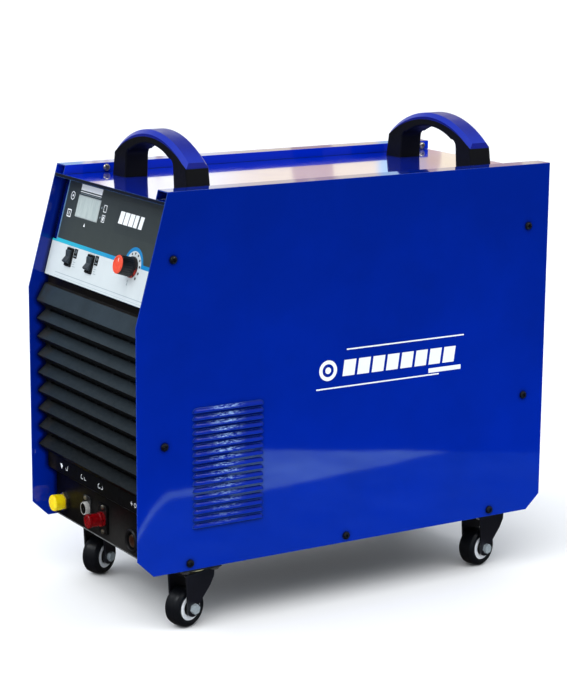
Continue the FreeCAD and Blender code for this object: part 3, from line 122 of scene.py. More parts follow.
def ramp(value, over=(0.0, 1.0), to=(0.0, 1.0)):
    """Linear change between the values of `to` while value crosses `over`."""
    return value.graph.add("MapRange", {"Value": value, "From Min": over[0], "From Max": over[1],
                                        "To Min": to[0], "To Max": to[1]})


def lerp(mask, off, on):
    return mask.graph.add("Mix", {0: mask, 2: off, 3: on}, data_type="FLOAT")


def blend(mask, under, over, amount=None):
    """Colour `over` laid on `under` where the mask is 1; amount weakens the mask."""
    if amount is not None:
        mask = mask * amount
    return mask.graph.add("Mix", {0: mask, 6: under, 7: over}, 2, data_type="RGBA")


def wear_and_edge_highlight(edge, colour, light, amount):
    """Paler colour along sharp edges: a painted edge highlight, with scuffs."""
    return blend(clamp(edge * amount), colour, light)


def hypot(across, along):
    return (across * across + along * along).math("SQRT")


class Graph:
    """Writes the nodes of one material or world. Lengths in millimetres, noise scales in
    cycles per millimetre."""

    def __init__(self, name, collection=bpy.data.materials):
        self.name = name
        self.owner = collection.new(name)
        self.owner.use_nodes = True
        self.tree = self.owner.node_tree
        self.tree.nodes.clear()
        self._position = None

    def put(self, socket, value):
        if value is None:
            return
        if isinstance(value, Value):
            self.tree.links.new(value.socket, socket)
        elif socket.type == "RGBA" and len(value) == 3:
            socket.default_value = (*value, 1.0)
        else:
            socket.default_value = value

    def node(self, kind, inputs=None, **settings):
        node = self.tree.nodes.new("ShaderNode" + kind)
        for key, value in settings.items():
            setattr(node, key, value)
        for key, value in (inputs or {}).items():
            self.put(node.inputs[key], value)
        return node

    def add(self, kind, inputs=None, output=0, **settings):
        """A new node's chosen output."""
        return Value(self, self.node(kind, inputs, **settings).outputs[output])

    def math(self, operation, first, second=None):
        return self.add("Math", {0: first, 1: second}, operation=operation)

    def vector(self, operation, first, second):
        output = "Value" if operation == "DOT_PRODUCT" else "Vector"
        return self.add("VectorMath", {0: first, 1: second}, output, operation=operation)

    def position(self):
        """Object position at rest, made once per graph."""
        if self._position is None:
            metres = self.add("TexCoord", output="Object")
            self._position = self.vector("MULTIPLY", metres, (1000.0, 1000.0, 1000.0))
        return self._position

    def scaled(self, *factors):
        return self.vector("MULTIPLY", self.position(), factors)

    def relative(self, origin):
        return self.vector("SUBTRACT", self.position(), origin)

    def normal(self):
        return self.add("NewGeometry", output="Normal")

    def xyz(self, vector=None):
        node = self.node("SeparateXYZ", {0: vector or self.position()})
        return tuple(Value(self, socket) for socket in node.outputs)

    def noise(self, scale, detail=3.0, rough=0.6, vector=None):
        return self.add("TexNoise", {"Vector": vector or self.position(), "Scale": scale,
                                     "Detail": detail, "Roughness": rough}, "Fac")

    def mottle(self, scale, to=(0.0, 1.0), over=(0.3, 0.7), detail=4.0, rough=0.6):
        """Noise stretched to the values of `to`."""
        return ramp(self.noise(scale, detail, rough), over, to)

    def edges(self, radius, gain):
        """1 along sharp edges, 0 on flats; also the softened normal."""
        rounded = self.add("Bevel", {"Radius": radius * MM}, samples=4)
        turn = self.vector("DOT_PRODUCT", rounded, self.normal())
        return clamp((1.0 - turn) * gain), rounded

    def crevice_shade(self, reach, gain):
        """1 deep in corners and gaps, 0 in the open; the mask for painted shade there."""
        open_sky = self.add("AmbientOcclusion", {"Distance": reach * MM}, "AO",
                            samples=6, only_local=False)
        return clamp((1.0 - open_sky) * gain)

    def bump(self, height, depth, normal=None):
        return self.add("Bump", {"Distance": depth * MM, "Height": height, "Normal": normal})

    def grain(self, scale, depth, normal=None, detail=3.0, rough=0.6):
        return self.bump(self.noise(scale, detail, rough), depth, normal)

    def output(self, shader, kind="OutputMaterial"):
        self.node(kind, {0: shader})

    def finish(self, colour, rough, metal=0.0, normal=None, spec=0.5, coat=0.0, coat_rough=0.05,
               transmission=0.0, ior=1.5, subsurface=0.0):
        self.output(self.add("BsdfPrincipled", {
            "Base Color": colour, "Roughness": rough, "Metallic": metal, "Normal": normal,
            "Specular IOR Level": spec, "Coat Weight": coat, "Coat Roughness": coat_rough,
            "Transmission Weight": transmission, "IOR": ior, "Subsurface Weight": subsurface}))
        MATERIALS[self.name] = self.owner


MATERIALS = {}


def srgb(*channels):
    """Linear colour from 0..255 display values."""
    def linear(c):
        c /= 255.0
        return c / 12.92 if c <= 0.04045 else ((c + 0.055) / 1.055) ** 2.4
    return tuple(linear(c) for c in channels)


def shade(colour, factor, lift=0.0):
    return tuple(min(1.0, c * factor + lift) for c in colour)


# ---------------------------------------------------------------------------
# general finishes
# ---------------------------------------------------------------------------
def louvre_shading(graph, colour, base, position, facing):
    """Side panel zones: painted light on the insides of the top edges, painted shade under the
    louvres, and painted highlights streaked down the middle of the louvres.
    """
    x, y, z = position
    nx, _, nz = facing
    # painted light: the inward faces of the top edges a brighter blue
    inside = above(z, BASE_Z + 449.0, soft=0.6) * below(x.math("SIGN") * nx, -0.3, soft=0.1)
    colour = blend(inside, colour, srgb(0, 44, 205), amount=0.85)
    field = between(y, -243.0, -152.0, soft=1.0) * between(z, BASE_Z + 52.0, BASE_Z + 240.0, soft=2.0)
    back = field * between(nx.math("ABSOLUTE"), 0.25, 0.97, soft=0.06)
    # painted shade on the faces of the louvre hoods that turn down
    shade_under_louvres = back * below(nz, -0.1, soft=0.15)
    colour = blend(shade_under_louvres, colour, shade(base, 0.10), amount=0.8)
    # painted highlight: pale streaks down the middle of the louvres, on faces turned up
    streak = graph.noise(scale=0.35, detail=4.0, rough=0.7, vector=graph.scaled(1.0, 0.45, 2.2))
    middle = (between(y, -216.0, -184.0, soft=14.0) * above(nz, 0.30, soft=0.15)
              * ramp(z, over=(BASE_Z + 60.0, BASE_Z + 130.0), to=(0.25, 1.0)))
    shine = clamp(back * middle * ramp(streak, over=(0.46, 0.60)))
    return blend(shine, colour, srgb(158, 192, 240), amount=0.85)


def paint(name, base, light, rough=0.032, spec=0.30, edge_gain=2.6, coat=0.1, low=None,
          flat_top=False):
    """Gloss powder coat: orange peel, faint dust, paler folds as painted edge highlight and scuffs,
    painted shade in gaps. low is a brighter colour painted as light towards the lower edge and
    turns on the side panel zones; flat_top keeps the coat to faces that look straight up and
    paints shade on the cover's front lip."""
    graph = Graph(name)
    edge, rounded = graph.edges(radius=0.8, gain=edge_gain)
    peel = graph.noise(scale=0.42, detail=2.0, rough=0.55)
    fine = graph.noise(scale=2.4, detail=2.0)
    normal = graph.bump(peel * 1.0 + fine * 0.16, depth=0.005, normal=rounded)
    position = graph.xyz()
    facing = graph.xyz(graph.normal())
    cloud = graph.noise(scale=0.008, detail=4.0)
    top = base
    if low is not None:
        # painted light: brighter towards the lower edge, blending from low up to base
        height = ramp(position[2], over=(BASE_Z, BASE_Z + 440.0))
        height = clamp(height + ramp(cloud, over=(0.3, 0.7), to=(-0.12, 0.12)))
        top = blend(height, low, base)
    colour = blend(ramp(cloud, over=(0.3, 0.7), to=(0.0, 0.25)), top, shade(base, 0.8))
    specks = above(graph.noise(scale=1.1, detail=1.0, rough=0.3), 0.80, soft=0.03)
    colour = blend(specks, colour, light, amount=0.08)
    # painted shade in corners and gaps
    colour = blend(graph.crevice_shade(reach=7.0, gain=2.6), colour, shade(base, 0.06), amount=0.9)
    if low is not None:
        colour = louvre_shading(graph, colour, base, position, facing)
    # painted edge highlight, mottled like scuffs
    edge_wear_and_highlight = edge * graph.mottle(scale=0.25, rough=0.7, over=(0.25, 0.65), to=(0.45, 1.0))
    colour = wear_and_edge_highlight(edge_wear_and_highlight, colour, light, amount=0.75)
    rough = lerp(graph.mottle(scale=0.02, detail=5.0, rough=0.65, over=(0.35, 0.75)),
                 rough, rough * 1.7)
    if flat_top:
        flat = above(facing[2], 0.985, soft=0.01)
        # painted shade: the cover's front lip near-black navy, its edge left pale
        front_lip_shade = below(facing[1], -0.3, soft=0.1) * below(position[1], -262.0, soft=2.0)
        colour = blend(front_lip_shade * (1.0 - edge), colour, srgb(10, 14, 30))
        rough = lerp(flat, 0.3, rough)
        spec = lerp(flat, 0.12, spec)
        coat = flat * coat
    graph.finish(colour, rough, normal=normal, spec=spec, coat=coat, coat_rough=0.04)


def plastic(name, base, rough, grain, depth, spec=0.45, tint=None, edge=0.35, radius=0.5):
    """Moulded plastic: grain `grain` mm wide, flow marks, slightly paler corners as painted highlight
    and scuffs.
    """
    graph = Graph(name)
    corner, rounded = graph.edges(radius, gain=1.8)
    normal = graph.grain(1.0 / grain, depth, rounded)
    colour = blend(graph.mottle(scale=0.03, to=(0.0, 0.3)), base, shade(base, 0.75))
    # painted edge highlight and scuffs
    colour = wear_and_edge_highlight(corner, colour, tint or shade(base, 2.2, lift=0.01), edge)
    rough = graph.mottle(scale=0.12, to=(rough * 0.88, min(1.0, rough * 1.15)))
    graph.finish(colour, rough, normal=normal, spec=spec)


def metal(name, base, rough, scratch, tint=None, depth=0.01):
    """Plated or turned metal: scratches scaled per axis, uneven tarnish, bright edges as a painted
    highlight.
    """
    graph = Graph(name)
    edge, rounded = graph.edges(radius=0.35, gain=2.0)
    scratches = graph.noise(scale=1.0, detail=4.0, rough=0.7, vector=graph.scaled(*scratch))
    normal = graph.bump(scratches, depth, rounded)
    tarnish = graph.noise(scale=0.14, detail=4.0, rough=0.65)
    colour = blend(ramp(tarnish, over=(0.35, 0.75), to=(0.0, 0.25)), base,
                   tint or shade(base, 0.55))
    # painted edge highlight and scuffs
    colour = wear_and_edge_highlight(edge, colour, shade(base, 1.25), amount=0.3)
    rough = ramp(scratches, over=(0.3, 0.7), to=(rough * 0.75, rough * 1.3)) + tarnish * 0.06
    graph.finish(colour, rough, metal=1.0, normal=normal)


def connector_paint():
    """Satin black sheet with a painted grey sheen low down right of centre, and a pale, scraped lower
    edge.
    """
    graph = Graph("connector_paint")
    edge, rounded = graph.edges(radius=0.5, gain=1.8)
    normal = graph.grain(scale=2.0, depth=0.04, normal=rounded)
    x, _, z = graph.xyz()
    colour = blend(graph.mottle(scale=0.03, to=(0.0, 0.5)), srgb(11, 9, 9), srgb(7, 7, 8))
    # painted sheen: paler grey low down, right of centre
    sheen = between(x, -20.0, 78.0, soft=45.0) * below(z, BASE_Z + 34.0, soft=26.0)
    colour = blend(sheen, colour, srgb(44, 43, 42), amount=0.8)
    scrape = (below(z, BASE_Z + 1.9, soft=0.15)
              * graph.mottle(scale=0.12, rough=0.7, over=(0.3, 0.6), to=(0.35, 1.0)))
    colour = blend(scrape, colour, srgb(126, 128, 128), amount=0.8)
    # painted edge highlight and scuffs
    colour = wear_and_edge_highlight(edge, colour, srgb(70, 72, 74), amount=0.35)
    graph.finish(colour, graph.mottle(scale=0.12, to=(0.38, 0.5)), normal=normal, spec=0.15)


BLUE = srgb(0, 28, 126)
# painted light: brighter blue for the side panels' lower part
BLUE_LOW_LIT = srgb(0, 36, 158)
BLUE_LIGHT = srgb(84, 140, 228)

paint("panel_paint", BLUE, BLUE_LIGHT, low=BLUE_LOW_LIT)
paint("cover_paint", srgb(1, 36, 170), srgb(110, 185, 240), rough=0.10, spec=0.75, coat=1.0,
      edge_gain=3.4, flat_top=True)
# painted shade: the fascia a darker blue than the side panels
paint("fascia_paint", srgb(0, 17, 92), BLUE_LIGHT)
plastic("dark_paint", srgb(9, 9, 10), rough=0.42, grain=0.5, depth=0.04, spec=0.15)
plastic("rear_paint", srgb(25, 26, 28), rough=0.40, grain=0.8, depth=0.06, spec=0.3, edge=0.45)
connector_paint()
metal("frame_steel", (0.52, 0.53, 0.55), rough=0.35, scratch=(0.2, 0.2, 2.5))
plastic("grip_plastic", srgb(14, 14, 15), rough=0.5, grain=0.5, depth=0.06, spec=0.2,
        tint=srgb(74, 76, 76), edge=0.4)
plastic("black_plastic", srgb(17, 17, 18), rough=0.38, grain=0.4, depth=0.03, spec=0.35)
plastic("tyre", srgb(12, 14, 19), rough=0.34, grain=1.2, depth=0.08, spec=0.4,
        tint=srgb(52, 56, 66), edge=0.4)
plastic("cord", srgb(22, 22, 23), rough=0.6, grain=0.6, depth=0.08)
metal("zinc", (0.78, 0.76, 0.68), rough=0.26, scratch=(3.0, 3.0, 3.0))
plastic("black_screw", srgb(12, 12, 16), rough=0.3, grain=0.3, depth=0.02, spec=0.6,
        tint=srgb(60, 66, 84), edge=0.4, radius=0.25)
metal("brass", (0.80, 0.58, 0.27), rough=0.24, scratch=(4.0, 0.8, 4.0), tint=(0.42, 0.25, 0.10))
metal("contact_brass", (0.95, 0.68, 0.52), rough=0.3, scratch=(4.0, 0.8, 4.0),
      tint=(0.66, 0.36, 0.22))
metal("cream_zinc", (0.86, 0.78, 0.60), rough=0.27, scratch=(3.0, 3.0, 3.0),
      tint=(0.5, 0.42, 0.28))
metal("chrome_wire", (0.80, 0.81, 0.83), rough=0.14, scratch=(1.0, 4.0, 4.0))
metal("cast_alloy", (0.58, 0.59, 0.60), rough=0.46, scratch=(1.2, 1.2, 1.2), depth=0.06)
metal("aluminium", (0.70, 0.71, 0.73), rough=0.30, scratch=(8.0, 0.2, 8.0))


# ---------------------------------------------------------------------------
# materials of single parts
# ---------------------------------------------------------------------------
def yellow_cap():
    graph = Graph("yellow_cap")
    edge, rounded = graph.edges(radius=0.8, gain=2.0)
    fine = graph.noise(scale=1.6)
    waves = graph.noise(scale=0.16)
    normal = graph.bump(fine + waves * 3.0, depth=0.07, normal=rounded)
    colour = blend(ramp(waves, over=(0.35, 0.7), to=(0.0, 0.7)),
                   srgb(252, 224, 6), srgb(238, 186, 4))
    # painted edge highlight and scuffs
    colour = wear_and_edge_highlight(edge, colour, srgb(255, 240, 90), amount=0.5)
    graph.finish(colour, rough=0.36, normal=normal, subsurface=0.08)


def red_plastic():
    """Deep red, black at the plate against the connector panel."""
    graph = Graph("red_plastic")
    edge, rounded = graph.edges(radius=0.5, gain=2.4)
    normal = graph.grain(scale=1.2, depth=0.03, normal=rounded)
    colour = blend(graph.mottle(scale=0.18, detail=3.0, over=(0.35, 0.7), to=(0.0, 0.6)),
                   srgb(122, 2, 8), srgb(64, 1, 4))
    # painted edge highlight and scuffs
    colour = wear_and_edge_highlight(edge, colour, srgb(196, 40, 44), amount=0.55)
    colour = blend(above(graph.xyz()[1], CONNECTOR_Y - 4.15, soft=0.03), colour, srgb(11, 11, 12))
    graph.finish(colour, rough=0.22, normal=normal, spec=0.4, coat=0.3)


def grille():
    """Satin moulding: slate where it faces up or out and painted shade, brown-black, where it
    faces down; painted shade lower down, in gaps and on the band at the top; a painted
    reflection on the left ends, a painted highlight along the lower lip, and dust on the ledges."""
    graph = Graph("grille_plastic")
    edge, rounded = graph.edges(radius=0.9, gain=1.6)
    nz = graph.xyz(graph.normal())[2]
    normal = graph.grain(scale=2.2, depth=0.05, normal=rounded)
    x, _, z = graph.xyz()
    full_height = (BASE_Z + 60.0, BASE_Z + 290.0)
    slate = blend(graph.mottle(scale=0.02, to=(0.0, 0.6)), srgb(46, 59, 68), srgb(30, 41, 48))
    # painted shade: darker towards the bottom
    slate = blend(ramp(z, over=full_height, to=(0.96, 0.1)), slate, srgb(5, 7, 9))
    # painted shade on faces turned down
    colour = blend(ramp(nz, over=(-0.35, 0.6)), srgb(13, 10, 8), slate)
    # painted shade on the band at the top, under the fascia
    colour = blend(above(z, BASE_Z + 308.2, soft=0.3), colour, srgb(15, 12, 9))
    # painted reflection: paler, browner left ends
    left_end_reflection = (below(x, -122.0, soft=9.0)
                * graph.mottle(scale=0.06, detail=3.0, over=(0.35, 0.65), to=(0.1, 0.6)))
    colour = blend(left_end_reflection, colour, srgb(44, 38, 28))
    # painted shade in gaps
    colour = blend(graph.crevice_shade(reach=9.0, gain=1.0), colour, srgb(5, 4, 4))
    # painted highlight along the lower lip, fading to the left
    lower_lip_highlight = below(z, BASE_Z + 58.5, soft=0.15) * ramp(x, over=(-70.0, 10.0), to=(0.0, 0.85))
    colour = blend(lower_lip_highlight.math("MAXIMUM", 0.0), colour, srgb(128, 132, 134))
    dust = (above(nz, 0.75, soft=0.2)
            * graph.mottle(scale=0.35, detail=5.0, rough=0.75, over=(0.4, 0.7), to=(0.0, 0.2)))
    colour = blend(dust, colour, srgb(96, 98, 96))
    # painted edge highlight and scuffs
    colour = wear_and_edge_highlight(edge, colour, srgb(70, 86, 98), amount=0.18)
    graph.finish(colour, graph.mottle(scale=0.1, to=(0.36, 0.5)), normal=normal,
                 spec=ramp(z, over=full_height, to=(0.05, 0.2)))


def fascia_position(graph):
    """Place relative to the fascia's lower edge; also its x and its height up the face."""
    place = graph.relative(FASCIA_FOOT)
    return place, graph.xyz(place)[0], graph.vector("DOT_PRODUCT", place, FASCIA_UP)


def overlay():
    """Printed control film: black field with a painted soft sheen, paler lower down, cyan line
    with an arc round the knob, white lower part, painted highlights on the left rim and edges."""
    graph = Graph("overlay_film")
    _, x, v = fascia_position(graph)
    from_knob = hypot(x - KNOB_X, v - KNOB_V)
    white_zone = below(from_knob, 19.6, soft=0.15).math("MAXIMUM", below(v, 60.0, soft=0.15))
    cyan_zone = below(from_knob, 24.2, soft=0.15).math(
        "MAXIMUM", between(v, 60.0, 65.0, soft=0.15))
    # painted sheen: the black field paler towards its lower part
    black = blend(ramp(v, over=(66.0, 142.0)), srgb(56, 63, 62), srgb(46, 54, 57))
    plate = between(x, 8.0, 130.0, soft=0.4) * between(v, 92.0, 130.0, soft=0.4)
    black = blend(plate, black, srgb(42, 49, 52), amount=0.35)
    cyan = blend(ramp(x, over=(-140.0, 60.0)), srgb(40, 176, 196), srgb(16, 122, 180))
    white = blend(graph.mottle(scale=0.03, detail=3.0, to=(0.0, 0.5)),
                  srgb(198, 206, 208), srgb(188, 196, 199))
    colour = blend(cyan_zone, black, cyan)
    colour = blend(white_zone, colour, white)
    # two thin lines across the white part
    lines = between(v, 22.6, 23.3, soft=0.1).math("MAXIMUM", between(v, 18.8, 19.1, soft=0.08))
    lines = lines * between(x, -118.0, 128.0, soft=0.3)
    colour = blend(lines, colour, srgb(120, 140, 152), amount=0.75)
    # painted highlight along the left rim
    left_rim_highlight = below(x, -132.6, soft=0.15) * above(v, 62.6, soft=0.1)
    colour = blend(left_rim_highlight, colour, srgb(96, 136, 176), amount=0.8)
    edge, _ = graph.edges(radius=0.35, gain=2.0)
    # painted edge highlight
    colour = wear_and_edge_highlight(edge, colour, srgb(150, 176, 196), amount=0.7)
    rough = graph.mottle(scale=0.05, detail=3.0, to=(0.34, 0.42))
    graph.finish(colour, rough, normal=graph.grain(scale=1.6, depth=0.004), spec=0.3)


def window():
    """Pale streaked display glass with a greyer border."""
    graph = Graph("window")
    place, x, v = fascia_position(graph)
    streak = graph.noise(scale=1.0, detail=4.0, rough=0.65,
                         vector=graph.vector("MULTIPLY", place, (0.16, 0.02, 0.02)))
    colour = blend(ramp(streak, over=(0.3, 0.7)), srgb(190, 202, 198), srgb(160, 172, 172))
    border = (1.0 - between(x, -98.4, -40.6, soft=0.1)).math(
        "MAXIMUM", 1.0 - between(v, 98.4, 123.6, soft=0.1))
    colour = blend(border, colour, srgb(150, 156, 158), amount=0.5)
    normal = graph.grain(scale=0.2, rough=0.5, depth=0.05)
    graph.finish(colour, rough=0.14, normal=normal, spec=0.55, coat=0.6)


def knob():
    """Black fluted body, orange-red front disc, painted red reflections on the skirt's lower half,
    painted highlights on the edges.
    """
    graph = Graph("knob_plastic")
    edge, rounded = graph.edges(radius=0.4, gain=2.0)
    place = graph.relative(KNOB_CENTRE)
    height = graph.vector("DOT_PRODUCT", place, FASCIA_OUT)
    v = graph.vector("DOT_PRODUCT", place, FASCIA_UP)
    cap = above(height, 20.4, soft=0.08)
    skirt = below(height, 3.9, soft=0.1)
    # painted reflection: red patches on the skirt's lower half
    patches = above(graph.noise(scale=0.35, detail=2.0, rough=0.5), 0.5, soft=0.06)
    glint = below(v, -1.0, soft=3.0) * patches
    normal = graph.grain(scale=2.0, depth=0.03, normal=rounded)
    mottle = graph.mottle(scale=0.22, rough=0.65)
    orange = blend(mottle, srgb(232, 84, 54), srgb(212, 62, 36))
    red = blend(mottle, srgb(196, 44, 26), srgb(150, 26, 16))
    colour = blend(cap, srgb(14, 12, 13), orange)
    colour = blend(skirt * glint, colour, red)
    # painted edge highlight on the cap
    colour = wear_and_edge_highlight(edge * cap, colour, srgb(255, 150, 120), amount=0.3)
    body = 1.0 - cap.math("MAXIMUM", skirt)
    # painted highlight: faint pale edges on the body
    colour = blend(body * (edge * 0.1), colour, srgb(60, 58, 60))
    graph.finish(colour, rough=0.36, normal=normal)


def rocker():
    """Dark grey rocker, paler towards its upper end as a painted highlight."""
    graph = Graph("rocker_plastic")
    edge, rounded = graph.edges(radius=0.5, gain=2.2)
    v = graph.vector("DOT_PRODUCT", graph.relative(FASCIA_FOOT), FASCIA_UP)
    normal = graph.grain(scale=2.6, depth=0.025, normal=rounded)
    # painted highlight: paler towards the upper end
    colour = blend(ramp(v, over=(38.0, 54.0)), srgb(40, 48, 54), srgb(58, 68, 74))
    colour = blend(graph.mottle(scale=0.2, detail=3.0, to=(0.0, 0.4)), colour, srgb(30, 36, 42))
    # painted edge highlight and scuffs
    colour = wear_and_edge_highlight(edge, colour, srgb(110, 122, 130), amount=0.5)
    graph.finish(colour, rough=0.34, normal=normal)


def fork(key):
    """Gloss black pressed steel with a bright hexagon axle bolt."""
    pin_x, pin_y, swivel = CASTERS[key]
    angle = math.radians(swivel)
    graph = Graph("fork_paint_" + key)
    edge, rounded = graph.edges(radius=0.7, gain=2.2)
    place = graph.relative((pin_x, pin_y, 0.0))
    across = graph.vector("DOT_PRODUCT", place, (math.cos(angle), math.sin(angle), 0.0))
    along = graph.vector("DOT_PRODUCT", place, (-math.sin(angle), math.cos(angle), 0.0))
    from_axle = hypot(along + TRAIL, graph.xyz(place)[2] - AXLE_Z)
    head = below(from_axle, 7.2) * above(across.math("ABSOLUTE"), 16.78, soft=0.02)
    shank = below(across.math("ABSOLUTE"), 14.1, soft=0.02) * below(from_axle, 4.3)
    bolt = head.math("MAXIMUM", shank)
    normal = graph.grain(scale=1.1, depth=0.05, normal=rounded)
    colour = blend(graph.mottle(scale=0.05, rough=0.65, to=(0.0, 0.5)),
                   srgb(20, 20, 29), srgb(13, 13, 16))
    # painted edge highlight and scuffs
    colour = wear_and_edge_highlight(edge, colour, srgb(84, 90, 104), amount=0.35)
    steel = blend(graph.mottle(scale=0.5, detail=3.0, to=(0.0, 0.6)),
                  (0.58, 0.66, 0.70), (0.30, 0.36, 0.40))
    colour = blend(bolt, colour, steel)
    graph.finish(colour, rough=lerp(bolt, 0.32, 0.22), metal=bolt * 0.45, normal=normal,
                 spec=0.45, coat=0.15)


def hub(key):
    """Pale plastic rim ring, black centre and bearing boss."""
    pin_x, pin_y, swivel = CASTERS[key]
    angle = math.radians(swivel)
    axle = (pin_x + TRAIL * math.sin(angle), pin_y - TRAIL * math.cos(angle), AXLE_Z)
    graph = Graph("hub_plastic_" + key)
    edge, rounded = graph.edges(radius=0.4, gain=1.8)
    place = graph.relative(axle)
    along = graph.vector("DOT_PRODUCT", place, (-math.sin(angle), math.cos(angle), 0.0))
    ring = above(hypot(along, graph.xyz(place)[2]), 9.9, soft=0.06)
    normal = graph.grain(scale=1.4, depth=0.03, normal=rounded)
    white = blend(graph.mottle(scale=0.14, rough=0.65), srgb(232, 234, 236), srgb(196, 202, 208))
    colour = blend(ring, srgb(18, 19, 22), white)
    # painted edge highlight and scuffs
    colour = wear_and_edge_highlight(edge, colour, srgb(250, 252, 252), amount=0.2)
    graph.finish(colour, rough=0.34, normal=normal)


def caster_plates():
    """Black plate, yellow zinc swivel race, pale kingpin nut."""
    graph = Graph("caster_zinc")
    edge, rounded = graph.edges(radius=0.5, gain=2.0)
    z = graph.xyz()[2]
    plate = above(z, BASE_Z - 2.6, soft=0.03)
    nut = below(z, BASE_Z - 9.6)
    normal = graph.grain(scale=1.4, rough=0.65, depth=0.04, normal=rounded)
    mottle = graph.mottle(scale=0.2, rough=0.7)
    yellow = blend(mottle, (0.74, 0.66, 0.36), (0.58, 0.58, 0.30))
    pale = blend(mottle, (0.74, 0.73, 0.70), (0.50, 0.48, 0.44))
    colour = blend(nut, yellow, pale)
    colour = blend(plate, colour, srgb(20, 20, 23))
    # painted edge highlight and scuffs
    colour = wear_and_edge_highlight(edge, colour, (0.85, 0.84, 0.8), amount=0.25)
    graph.finish(colour, rough=lerp(plate, 0.3, 0.42), metal=(1.0 - plate) * 0.25, normal=normal)


def socket_metal():
    """Chromed shell between a dark flange and a dark well with pins."""
    graph = Graph("socket_chrome")
    edge, rounded = graph.edges(radius=0.4, gain=2.2)
    x, _, z = graph.xyz()
    radius = hypot(x + -SOCKET_X, z - SOCKET_Z)
    well = below(radius, 6.98)
    flange = above(radius, 8.75)
    normal = graph.grain(scale=2.5, rough=0.65, depth=0.012, normal=rounded)
    colour = blend(graph.mottle(scale=0.3, rough=0.7, to=(0.0, 0.5)),
                   (0.80, 0.79, 0.76), (0.50, 0.48, 0.44))
    colour = blend(flange, colour, srgb(26, 27, 29))
    colour = blend(well, colour, srgb(24, 22, 20))
    # painted edge highlight and scuffs
    colour = wear_and_edge_highlight(edge, colour, (0.9, 0.9, 0.88), amount=0.4)
    graph.finish(colour, rough=0.22, metal=(1.0 - well) * (1.0 - flange) * 0.5, normal=normal)


def handle_cap():
    """Blue caps, with painted light on their upward slopes."""
    graph = Graph("cap_plastic")
    edge, rounded = graph.edges(radius=1.0, gain=2.6)
    normal = graph.grain(scale=1.5, depth=0.04, normal=rounded)
    nz = graph.xyz(graph.normal())[2]
    colour = blend(graph.mottle(scale=0.03, to=(0.0, 0.5)), srgb(6, 22, 128), srgb(4, 16, 108))
    # painted light on the slopes facing up
    colour = blend(between(nz, 0.35, 0.86, soft=0.08), colour, srgb(30, 60, 190), amount=0.4)
    # painted edge highlight and scuffs
    colour = wear_and_edge_highlight(edge, colour, srgb(70, 112, 226), amount=0.4)
    graph.finish(colour, graph.mottle(scale=0.1, to=(0.3, 0.42)), normal=normal, spec=0.22)


def transformer():
    """Dark core with a copper winding in its middle."""
    graph = Graph("ferrite")
    _, y, z = graph.xyz()
    coil = (between(y, 8.0 + ORIGIN_Y, 72.0 + ORIGIN_Y, soft=0.2)
            * between(z, 230.0, 286.0, soft=0.2))
    strands = graph.noise(scale=1.0, detail=2.0, rough=0.5, vector=graph.scaled(0.1, 0.1, 1.6))
    copper = blend(ramp(strands, over=(0.35, 0.65)), srgb(186, 104, 52), srgb(120, 60, 28))
    colour = blend(coil, srgb(44, 44, 47), copper)
    graph.finish(colour, rough=0.5, normal=graph.bump(strands, depth=0.3))


def winding():
    """Copper turns, 60 round the choke's upright axis."""
    graph = Graph("copper")
    x, y, _ = graph.xyz()
    turns = ((y - (-75.0 + ORIGIN_Y)).math("ARCTAN2", x) * 60.0).math("SINE")
    colour = blend(ramp(turns, over=(-1.0, 1.0)), srgb(120, 58, 26), srgb(204, 120, 62))
    graph.finish(colour, rough=0.34, metal=0.6, normal=graph.bump(turns, depth=0.5))


def capacitor():
    """Navy sleeve with a pale stripe and a bare metal top."""
    graph = Graph("can")
    x, _, z = graph.xyz()
    top = above(z, 132.0, soft=0.3)
    colour = blend(graph.mottle(scale=0.1, detail=3.0), srgb(26, 32, 64), srgb(20, 24, 48))
    colour = blend(between(x, 128.0, 131.0, soft=0.2), colour, srgb(190, 190, 190), amount=0.7)
    colour = blend(top, colour, (0.6, 0.6, 0.62))
    graph.finish(colour, rough=0.3, metal=top, normal=graph.grain(scale=0.8, depth=0.03))


def circuit_board():
    graph = Graph("board")
    tracks = graph.add("TexBrick", {
        "Scale": 0.09, "Vector": graph.position(), "Color1": srgb(18, 84, 42),
        "Color2": srgb(24, 98, 50), "Mortar": srgb(120, 150, 60)}, "Color")
    pads = above(graph.noise(scale=0.35, detail=2.0, rough=0.4), 0.62, soft=0.02)
    colour = blend(pads, tracks, srgb(190, 176, 120), amount=0.6)
    graph.finish(colour, rough=0.32, normal=graph.bump(pads, depth=0.1))


def clear_bowl():
    """Clear bowl with water in its lower part."""
    graph = Graph("clear_bowl")
    water = below(graph.xyz()[2], 284.0, soft=0.2)
    colour = blend(water, (0.86, 0.92, 0.93), (0.72, 0.82, 0.84))
    rough = graph.mottle(scale=0.1, detail=3.0, rough=0.5, to=(0.03, 0.1))
    normal = graph.grain(scale=0.1, detail=2.0, rough=0.5, depth=0.1)
    graph.finish(colour, rough, normal=normal, transmission=0.88, ior=1.45)


def breaker():
    graph = Graph("breaker_plastic")
    edge, rounded = graph.edges(radius=0.5, gain=1.8)
    colour = blend(graph.mottle(scale=0.05), srgb(30, 31, 33), srgb(22, 23, 25))
    # painted edge highlight and scuffs
    colour = wear_and_edge_highlight(edge, colour, srgb(80, 82, 84), amount=0.35)
    normal = graph.grain(scale=2.0, depth=0.03, normal=rounded)
    graph.finish(colour, rough=0.42, normal=normal)


for build in (yellow_cap, red_plastic, grille, overlay, window, knob, rocker, transformer,
              winding, capacitor, circuit_board, clear_bowl, breaker, handle_cap, caster_plates,
              socket_metal):
    build()
plastic("module", srgb(22, 23, 24), rough=0.5, grain=0.4, depth=0.04)

